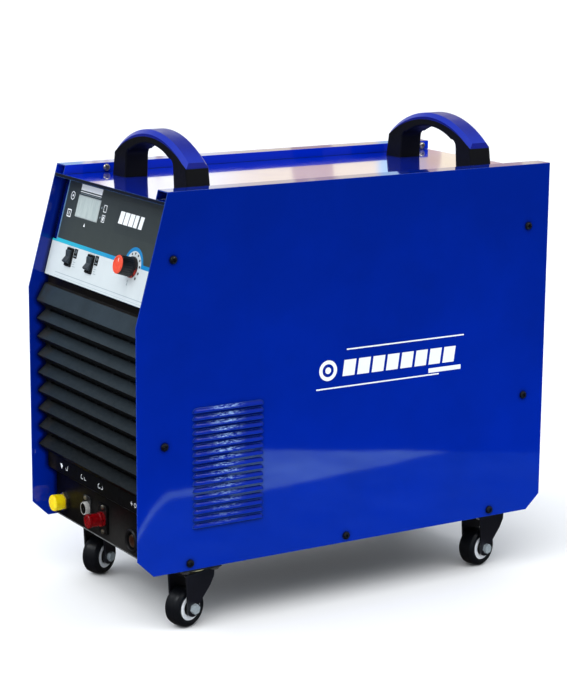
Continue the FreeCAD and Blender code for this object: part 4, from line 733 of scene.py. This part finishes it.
# material: the CAD nodes that wear it
WEARERS = {
    "panel_paint": "side_panel_right side_panel_left", "cover_paint": "top_cover",
    "dark_paint": "base_plate", "frame_steel": "front_frame", "rear_paint": "rear_panel",
    "grille_plastic": "front_grille", "connector_paint": "connector_panel",
    "fascia_paint": "fascia_plate", "overlay_film": "control_overlay",
    "window": "display_window", "rocker_plastic": "rocker_left rocker_right",
    "black_plastic": "rocker_frames output_socket_body fan_frame fan_rotor cord_gland"
                     " regulator_knob",
    "zinc": "potentiometer frame_bolts", "knob_plastic": "current_knob",
    "cream_zinc": "air_outlet_fitting hem_screws connector_screws",
    "yellow_cap": "outlet_dust_cap", "socket_chrome": "trigger_socket",
    "red_plastic": "pilot_terminal_base pilot_terminal_knob",
    "contact_brass": "output_socket_contact", "black_screw": "side_panel_screws",
    "grip_plastic": "handle_grips", "cap_plastic": "handle_caps",
    "caster_zinc": "caster_plates", "chrome_wire": "fan_guard",
    "breaker_plastic": "breaker_body breaker_toggle", "cord": "power_cord",
    "cast_alloy": "regulator_body", "clear_bowl": "regulator_bowl",
    "brass": "earth_stud solenoid_valve", "aluminium": "heatsinks", "module": "power_modules",
    "ferrite": "main_transformer", "copper": "output_choke", "can": "capacitor_bank",
    "board": "control_board", "tyre": " ".join("caster_tyre_" + key for key in CASTERS)}
for key in CASTERS:
    fork(key)
    hub(key)
    WEARERS["fork_paint_" + key] = "caster_fork_" + key
    WEARERS["hub_plastic_" + key] = "caster_hub_" + key
for material_name, nodes in WEARERS.items():
    for node in nodes.split():
        mesh = NODES[node].data
        mesh.materials.clear()
        mesh.materials.append(MATERIALS[material_name])
        for polygon in mesh.polygons:
            polygon.material_index = 0


# ---------------------------------------------------------------------------
# thin printed detail, as geometry
# ---------------------------------------------------------------------------
def ink(name, base):
    graph = Graph(name)
    colour = blend(graph.mottle(scale=0.8, rough=0.7, over=(0.3, 0.75), to=(0.0, 0.35)),
                   base, shade(base, 0.82))
    normal = graph.grain(scale=2.5, detail=2.0, rough=0.5, depth=0.01)
    graph.finish(colour, rough=0.4, normal=normal, spec=0.4)


ink("ink_white", srgb(236, 240, 242))
ink("ink_grey", srgb(126, 140, 148))
ink("ink_black", srgb(18, 18, 20))
ink("ink_dark", srgb(44, 52, 58))


def add_object(name, data):
    thing = bpy.data.objects.new(name, data)
    bpy.context.scene.collection.objects.link(thing)
    return thing


class Film:
    """Flat shapes on a plane, each a thin raised slab: drawn with an origin, two directions
    and an outward normal."""

    def __init__(self, name, material, origin, across=ALONG_X, up=FASCIA_UP, out=FASCIA_OUT,
                 lift=0.06, thick=0.08, body="case"):
        self.mesh = bmesh.new()
        self.name, self.material, self.body = name, material, body
        self.origin, self.across = Vector(origin), Vector(across)
        self.up, self.out = Vector(up), Vector(out)
        self.lift, self.thick = lift, thick

    def layer(self, points, height):
        return [self.mesh.verts.new((self.origin + self.across * a + self.up * b
                                     + self.out * height) * MM) for a, b in points]

    def poly(self, points):
        count = len(points)
        area = sum(points[i][0] * points[(i + 1) % count][1]
                   - points[(i + 1) % count][0] * points[i][1] for i in range(count))
        if area < 0:
            points = points[::-1]
        low = self.layer(points, self.lift)
        high = self.layer(points, self.lift + self.thick)
        self.mesh.faces.new(high)
        self.mesh.faces.new(low[::-1])
        for i in range(count):
            following = (i + 1) % count
            self.mesh.faces.new((low[i], low[following], high[following], high[i]))

    def rect(self, x0, y0, x1, y1, skew=0.0):
        shift = skew * (y1 - y0)
        self.poly([(x0, y0), (x1, y0), (x1 + shift, y1), (x0 + shift, y1)])

    def disc(self, x, y, radius, steps=20):
        turns = [2 * math.pi * i / steps for i in range(steps)]
        self.poly([(x + radius * math.cos(t), y + radius * math.sin(t)) for t in turns])

    def ring(self, x, y, inner, outer, steps=28, start=0.0, end=360.0):
        for i in range(steps):
            t0, t1 = (math.radians(start + (end - start) * k / steps) for k in (i, i + 1))
            corners = ((inner, t0), (outer, t0), (outer, t1), (inner, t1))
            self.poly([(x + r * math.cos(t), y + r * math.sin(t)) for r, t in corners])

    def frame(self, x0, y0, x1, y1, width):
        self.rect(x0, y0, x1, y0 + width)
        self.rect(x0, y1 - width, x1, y1)
        self.rect(x0, y0 + width, x0 + width, y1 - width)
        self.rect(x1 - width, y0 + width, x1, y1 - width)

    def finish(self, slot):
        bmesh.ops.recalc_face_normals(self.mesh, faces=self.mesh.faces)
        mesh = bpy.data.meshes.new(self.name)
        self.mesh.to_mesh(mesh)
        self.mesh.free()
        thing = add_object(self.name, mesh)
        mesh.materials.append(MATERIALS[self.material])
        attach(thing, self.body)


def fascia_height(node):
    """How far a node stands out from the fascia's lower edge, along its normal."""
    return max((vertex.co * 1000.0 - FASCIA_FOOT).dot(FASCIA_OUT)
               for vertex in NODES[node].data.vertices)


OVERLAY_FACE = FASCIA_FOOT + FASCIA_OUT * fascia_height("control_overlay")


def white_print():
    """White marks on the black field."""
    film = Film("label_print_white", "ink_white", OVERLAY_FACE)
    film.rect(-98.5, 131.2, -41.0, 138.6)               # blank strip over the display
    film.rect(-98.5, 128.6, -41.0, 129.5)
    film.ring(-117.0, 121.5, inner=4.4, outer=5.4)      # round mark
    film.disc(-117.0, 121.5, radius=1.6)
    film.frame(-122.2, 94.0, -111.6, 104.0, width=1.3)  # square mark
    film.rect(-117.6, 96.8, -116.3, 101.2)
    for i, width in enumerate((11.0, 11.0, 11.0, 9.0, 9.0)):  # name plate of slanted blocks
        left = 15.0 + i * 12.9
        film.rect(left, 104.2, left + width, 119.6, skew=0.16)
    film.rect(124.5, 92.5, 133.5, 101.5)
    for bottom in (112.0, 99.5):                        # two outline marks beside the display
        film.frame(-28.6, bottom, -20.6, bottom + 9.0, width=0.8)
    film.rect(-26.2, 101.5, -23.4, 106.5)
    film.poly([(-71.5, 87.6), (-67.3, 87.6), (-69.4, 92.0)])  # pointer under the display
    film.finish("overlay_film")


def grey_print():
    film = Film("label_print_grey", "ink_grey", OVERLAY_FACE)
    film.rect(-98.5, 126.6, -41.0, 127.2)
    film.disc(-33.8, 116.4, radius=1.3)
    film.disc(-33.2, 104.4, radius=1.3)
    for rocker_x in ROCKER_XS:                          # faint lines right of each rocker
        for row, end in enumerate((19.0, 16.0, 18.0, 15.0)):
            bottom = 35.6 + row * 2.9
            film.rect(rocker_x + 11.6, bottom, rocker_x + end, bottom + 0.55)
    film.poly([(70.2, 36.2), (72.2, 36.2), (71.2, 39.8)])
    film.ring(71.2, 41.6, inner=0.9, outer=1.4, steps=14)
    film.finish("overlay_film")


def dial_dots():
    """Black dots round the knob, growing clockwise, and dark tiles beside the rockers."""
    film = Film("dial_dots", "ink_black", OVERLAY_FACE)
    circle, first_angle, pitch = 16.9, 225.0, 27.0
    for i in range(11):
        angle = math.radians(first_angle - pitch * i)
        film.disc(KNOB_X + circle * math.cos(angle), KNOB_V + circle * math.sin(angle),
                  radius=1.05 + 0.07 * i)
    for rocker_x in ROCKER_XS:
        film.rect(rocker_x + 9.6, 46.4, rocker_x + 18.4, 58.4)
    film.finish("overlay_film")


def switch_tiles():
    """A ring and a bar on each dark tile."""
    film = Film("switch_tiles", "ink_grey", OVERLAY_FACE + FASCIA_OUT * 0.1)
    for rocker_x in ROCKER_XS:
        film.ring(rocker_x + 14.0, 54.6, inner=1.2, outer=1.9, steps=18)
        film.rect(rocker_x + 11.6, 48.6, rocker_x + 16.4, 49.8)
    film.finish("overlay_film")


def knob_pointer():
    """White line on the knob's cap."""
    recess = 0.8
    cap_face = KNOB_CENTRE + FASCIA_OUT * (fascia_height("current_knob") - recess)
    film = Film("knob_pointer", "ink_white", cap_face, lift=0.02, thick=0.12,
                body="current_knob")
    film.rect(-0.45, 3.2, 0.45, 7.6)
    film.finish("knob_plastic")


def side_badge(side, sign):
    """A blank badge between two lines on a side panel, reading left to right from outside."""
    film = Film("side_badge_" + side, "ink_white", (sign * PANEL_X, 0, 0), across=(0, sign, 0),
                up=(0, 0, 1), out=(sign, 0, 0), lift=0.03, thick=0.07)
    start, end = -72.0, 152.0
    if sign < 0:                                        # same span of y, seen from the other side
        start, end = -end, -start
    film.rect(start + 44.0, BASE_Z + 247.7, end - 2.0, BASE_Z + 249.4)
    film.rect(start, BASE_Z + 200.9, end - 40.0, BASE_Z + 202.6)
    film.ring(start + 17.0, BASE_Z + 224.5, inner=8.2, outer=13.0, steps=36)
    film.disc(start + 17.0, BASE_Z + 224.5, radius=4.2, steps=24)
    for i in range(8):
        left = start + 38.0 + i * 21.6
        film.rect(left, BASE_Z + 215.1, left + 17.6, BASE_Z + 235.3, skew=0.14)
    film.rect(end - 56.0, BASE_Z + 204.3, end - 6.0, BASE_Z + 210.1)
    film.finish("panel_paint")


def socket_marks():
    """Small plain icons on the grille's face above the connector panel."""
    height = BASE_Z + 75.5
    hit, place, normal, _ = NODES["front_grille"].ray_cast(
        Vector((-40.0 * MM, -0.6, height * MM)), Vector((0, 1, 0)))
    if not hit:    # guards against a grille with no face there
        return
    out = Vector((0, normal.y, normal.z)).normalized()
    up = Vector((0, -out.z, out.y))
    if out.y <= 0:
        up.negate()
    film = Film("socket_marks", "ink_white", (0, place.y * 1000.0, height), up=up, out=out,
                lift=0.04, thick=0.07)
    film.poly([(-110.0, 2.6), (-105.6, 3.2), (-102.6, 1.0), (-105.8, -3.6)])
    film.ring(-91.0, 0.2, inner=2.2, outer=3.0, steps=18, start=180, end=360)
    film.rect(-88.6, 0.0, -87.8, 3.0)
    film.ring(-47.0, 0.0, inner=2.4, outer=3.1, steps=18, start=90, end=330)
    film.rect(-41.0, -2.6, -36.0, -1.9)
    film.rect(-41.0, -2.6, -40.3, 1.2)
    film.ring(1.0, 0.0, inner=2.4, outer=3.1, steps=18, start=90, end=330)
    film.rect(6.0, -2.6, 11.0, -1.9)
    film.rect(10.3, -2.6, 11.0, 1.8)
    film.rect(86.0, -0.4, 91.0, 0.4)
    film.rect(88.1, -2.5, 88.9, 2.5)
    film.ring(98.0, 0.0, inner=2.2, outer=2.9, steps=18)
    film.finish("grille_plastic")


white_print()
grey_print()
dial_dots()
switch_tiles()
knob_pointer()
side_badge("right", 1)
side_badge("left", -1)
socket_marks()


# ---------------------------------------------------------------------------
# cores at the cut end of the mains cord
# ---------------------------------------------------------------------------
def tube(name, points, radius, material):
    """A round wire through the points, as a mesh."""
    curve = bpy.data.curves.new(name, "CURVE")
    curve.dimensions = "3D"
    curve.bevel_depth = radius * MM
    curve.bevel_resolution = 4
    curve.use_fill_caps = True
    spline = curve.splines.new("BEZIER")
    spline.bezier_points.add(len(points) - 1)
    for knot, point in zip(spline.bezier_points, points):
        knot.co = Vector(point) * MM
        knot.handle_left_type = knot.handle_right_type = "AUTO"
    source = add_object(name, curve)
    depsgraph = bpy.context.evaluated_depsgraph_get()
    mesh = bpy.data.meshes.new_from_object(source.evaluated_get(depsgraph))
    bpy.data.objects.remove(source)
    thing = add_object(name, mesh)
    for polygon in mesh.polygons:
        polygon.use_smooth = True
    mesh.materials.clear()
    mesh.materials.append(MATERIALS[material])
    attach(thing, "case")


def cord_cores():
    """Three insulated cores spreading from the cord's end, each with a bare copper tip."""
    end = Vector((-113.9, 313.0, 125.4))
    slope = math.radians(40)
    outward = Vector((-math.sin(slope), 0.0, -math.cos(slope)))
    side = Vector((0, 1, 0))
    across = outward.cross(side)
    for k, (letter, colour) in enumerate((("a", "brown"), ("b", "blue"), ("c", "green"))):
        angle = math.radians(90 + 120 * k)
        offset = side * math.cos(angle) * 3.0 + across * math.sin(angle) * 3.0
        tip = end + offset * 1.7 + outward * 17.0
        tube("cord_wire_" + letter,
             [end + offset - outward * 1.0, end + offset * 1.3 + outward * 8.0, tip],
             radius=1.7, material="wire_" + colour)
        tube("cord_tip_wire_" + letter,
             [tip - outward * 1.0, tip + outward * 3.0, tip + outward * 7.0],
             radius=0.9, material="copper_bare")


plastic("wire_brown", srgb(96, 52, 26), rough=0.4, grain=0.5, depth=0.02)
plastic("wire_blue", srgb(30, 70, 170), rough=0.4, grain=0.5, depth=0.02)
plastic("wire_green", srgb(120, 160, 30), rough=0.4, grain=0.5, depth=0.02)
metal("copper_bare", (0.86, 0.48, 0.28), rough=0.3, scratch=(1.0, 1.0, 5.0))
cord_cores()

# ---------------------------------------------------------------------------
# floor, light and camera; places here are in metres
# ---------------------------------------------------------------------------
CAMERA_AT = Vector((2.264, -1.398 + ORIGIN_Y * MM, 0.807 + BASE_Z * MM))


def floor_reflection(graph):
    """Colours of the floor as reflections see it: a dark sweep with a bright apron, laid out
    by the right side panel's mirror image of it from the camera."""
    x, y, _ = graph.xyz()
    # the camera mirrored in the panel, and where its ray to this floor point meets the panel
    mirror_x = 2 * PANEL_X - CAMERA_AT.x * 1000
    camera_y, camera_z = CAMERA_AT.y * 1000, CAMERA_AT.z * 1000
    along_ray = (PANEL_X - mirror_x) / (x - mirror_x).math("MAXIMUM", 100.0)
    panel_y = camera_y + along_ray * (y - camera_y)
    panel_z = camera_z * (1.0 - along_ray)
    wobble = graph.noise(scale=0.012, vector=graph.scaled(0.4, 1.0, 1.0)) - 0.5
    panel_z = panel_z + wobble * 6.0
    # upper and lower limits of the apron: sloping lines, and an arc towards the front
    upper_line = 213.6 - (panel_y + 138.0) * 0.1417
    past = (-270.0 - panel_y).math("MAXIMUM", 0.0)
    arc = 181.0 - past * past * 0.0186
    front = below(panel_y, -195.0, soft=6.0)
    upper = lerp(front, upper_line, arc)
    lower_line = 164.0 + (panel_y + 138.0) * 0.045
    lower = lerp(front, lower_line, arc - 9.0)
    under = below(panel_z - upper, 0.0, soft=1.6)
    apron = under * above(panel_z - lower, 0.0, soft=2.4)
    tone = graph.mottle(scale=0.01, detail=3.0, over=(0.35, 0.65), to=(0.75, 1.15))
    colour = blend(under, (0.02, 0.03, 0.07), (0.12, 0.32, 0.70))
    colour = blend(apron, colour, (1.35, 2.3, 2.4))
    colour = blend(above(x, 345.0, soft=20.0), (0.035, 0.032, 0.03), colour)
    return graph.vector("MULTIPLY", colour, graph.vector("ADD", (0, 0, 0), tone))


def floor_material():
    """Pale studio floor, replaced in reflections by floor_reflection."""
    graph = Graph("studio_floor")
    cloud = ramp(graph.noise(scale=0.002, rough=0.5), over=(0.3, 0.7))
    surface = graph.add("BsdfPrincipled", {
        "Base Color": blend(cloud, (0.90, 0.905, 0.91), (0.93, 0.93, 0.925)),
        "Roughness": 0.75, "Specular IOR Level": 0.2,
        "Normal": graph.grain(scale=0.6, detail=4.0, depth=0.03)})
    glow = graph.add("Emission", {0: floor_reflection(graph)})
    glossy = graph.add("LightPath", output="Is Glossy Ray")
    graph.output(graph.add("MixShader", {0: glossy, 1: surface, 2: glow}))
    return graph.owner


def card_material():
    """Near white glow with upright cream, sky and rose patches."""
    graph = Graph("studio_card")
    cream = graph.noise(scale=0.0016, vector=graph.scaled(1.0, 1.0, 0.25))
    sky = graph.noise(scale=0.0042, detail=2.0, rough=0.5, vector=graph.scaled(1.0, 1.0, 0.10))
    moved = graph.vector("ADD", graph.scaled(1.0, 1.0, 0.30), (900.0, 400.0, 0.0))
    rose = graph.noise(scale=0.0075, detail=2.0, rough=0.4, vector=moved)
    colour = blend(ramp(cream, over=(0.38, 0.54)), (1.0, 1.0, 0.98), (0.92, 0.80, 0.58))
    colour = blend(above(sky, 0.53, soft=0.03), colour, (0.46, 0.68, 0.90))
    colour = blend(above(rose, 0.58, soft=0.02), colour, (0.50, 0.33, 0.28), amount=0.8)
    graph.output(graph.add("Emission", {"Color": colour, "Strength": 1.4}))
    return graph.owner


def quad(name, corners, material):
    mesh = bpy.data.meshes.new(name)
    mesh.from_pydata(corners, [], [(0, 1, 2, 3)])
    thing = add_object(name, mesh)
    mesh.materials.append(material)
    return thing


def build_world():
    """White to the camera; elsewhere a grey to pale blue sky, dimmer in reflections."""
    graph = Graph("studio", bpy.data.worlds)
    bpy.context.scene.world = graph.owner
    rise = graph.xyz(graph.add("TexCoord", output="Generated"))[2]
    sky = graph.add("ValToRGB", {0: ramp(rise, over=(-1.0, 1.0))})
    stops = sky.socket.node.color_ramp.elements
    stops[0].position = 0.50
    stops[0].color = (0.42, 0.45, 0.50, 1)
    stops[1].position = 0.95
    stops[1].color = (0.85, 0.90, 0.98, 1)
    rays = graph.node("LightPath").outputs
    strength = ramp(Value(graph, rays["Is Glossy Ray"]), to=(1.0, 0.42))
    seen = graph.add("Background", {"Color": (1, 1, 1), "Strength": 1.0})
    lighting = graph.add("Background", {"Color": sky, "Strength": strength})
    camera_ray = Value(graph, rays["Is Camera Ray"])
    graph.output(graph.add("MixShader", {0: camera_ray, 1: lighting, 2: seen}), "OutputWorld")


def light(name, kind, energy, color, facing, location=(0, 0, 0), **settings):
    lamp = bpy.data.lights.new(name, kind)
    lamp.energy = energy
    lamp.color = color
    for key, value in settings.items():
        setattr(lamp, key, value)
    thing = add_object(name, lamp)
    thing.location = location
    thing.rotation_mode = "QUATERNION"
    thing.rotation_quaternion = facing.to_track_quat("-Z", "Y")
    return thing


def sun(name, towards, energy, angle, color):
    """Soft sun in the given direction, `angle` degrees wide, unseen in reflections."""
    lamp = light(name, "SUN", energy, color, -Vector(towards), angle=math.radians(angle))
    lamp.visible_glossy = False


def area(name, location, aim, size, size_y, energy, color):
    light(name, "AREA", energy, color, Vector(aim) - Vector(location), location,
          shape="RECTANGLE", size=size, size_y=size_y)


def build_camera():
    azimuth, elevation, roll = (math.radians(a) for a in (58.58, 12.48, 0.42))
    back = Vector((math.sin(azimuth) * math.cos(elevation),
                   -math.cos(azimuth) * math.cos(elevation), math.sin(elevation)))
    forward = -back
    level_right = forward.cross(Vector((0, 0, 1))).normalized()
    level_up = level_right.cross(forward)
    right = level_right * math.cos(roll) + level_up * math.sin(roll)
    up = -level_right * math.sin(roll) + level_up * math.cos(roll)
    camera = bpy.data.cameras.new("camera")
    thing = add_object("camera", camera)
    camera.sensor_fit = "AUTO"
    camera.sensor_width = 36.0
    camera.lens = 108.3399142
    camera.shift_x = 0.005579399
    camera.shift_y = 0.0008583691
    camera.clip_start = 0.05
    camera.clip_end = 200.0
    rows = zip(right, up, back, CAMERA_AT)
    thing.matrix_world = Matrix((*rows, (0, 0, 0, 1)))
    bpy.context.scene.camera = thing


FLOOR_HALF, FLOOR_Z = 40, -0.0004
quad("floor", [(x * FLOOR_HALF, y * FLOOR_HALF, FLOOR_Z)
               for x, y in ((-1, -1), (1, -1), (1, 1), (-1, 1))], floor_material())
build_world()
sun("key", towards=(0.42, -0.55, 1.0), energy=1.75, angle=55.0, color=(1.0, 0.99, 0.97))
sun("fill", towards=(-0.5, -0.6, 0.7), energy=0.35, angle=60.0, color=(0.92, 0.96, 1.0))
# tall narrow light whose image runs down the middle of the pressed louvres
area("louvre_light", location=(1.35, 0.56, 1.97), aim=(0.1475, -0.196, 0.29), size=0.30,
     size_y=1.1, energy=9.0, color=(1, 1, 1))
area("front_strip", location=(-0.5, -2.4, 2.3), aim=(0, -0.3, 0.4), size=1.4, size_y=0.6,
     energy=14.0, color=(0.9, 0.95, 1.0))

# a bright card that only reflections see
card = quad("card", [(-4.6, -0.9, 0.55), (-0.9, 4.9, 0.55), (-0.9, 4.9, 2.9), (-4.6, -0.9, 2.9)],
            card_material())
card.visible_camera = False
card.visible_diffuse = False
card.visible_shadow = False

build_camera()
bpy.context.scene.view_settings.view_transform = "Standard"
bpy.context.scene.view_settings.look = "None"
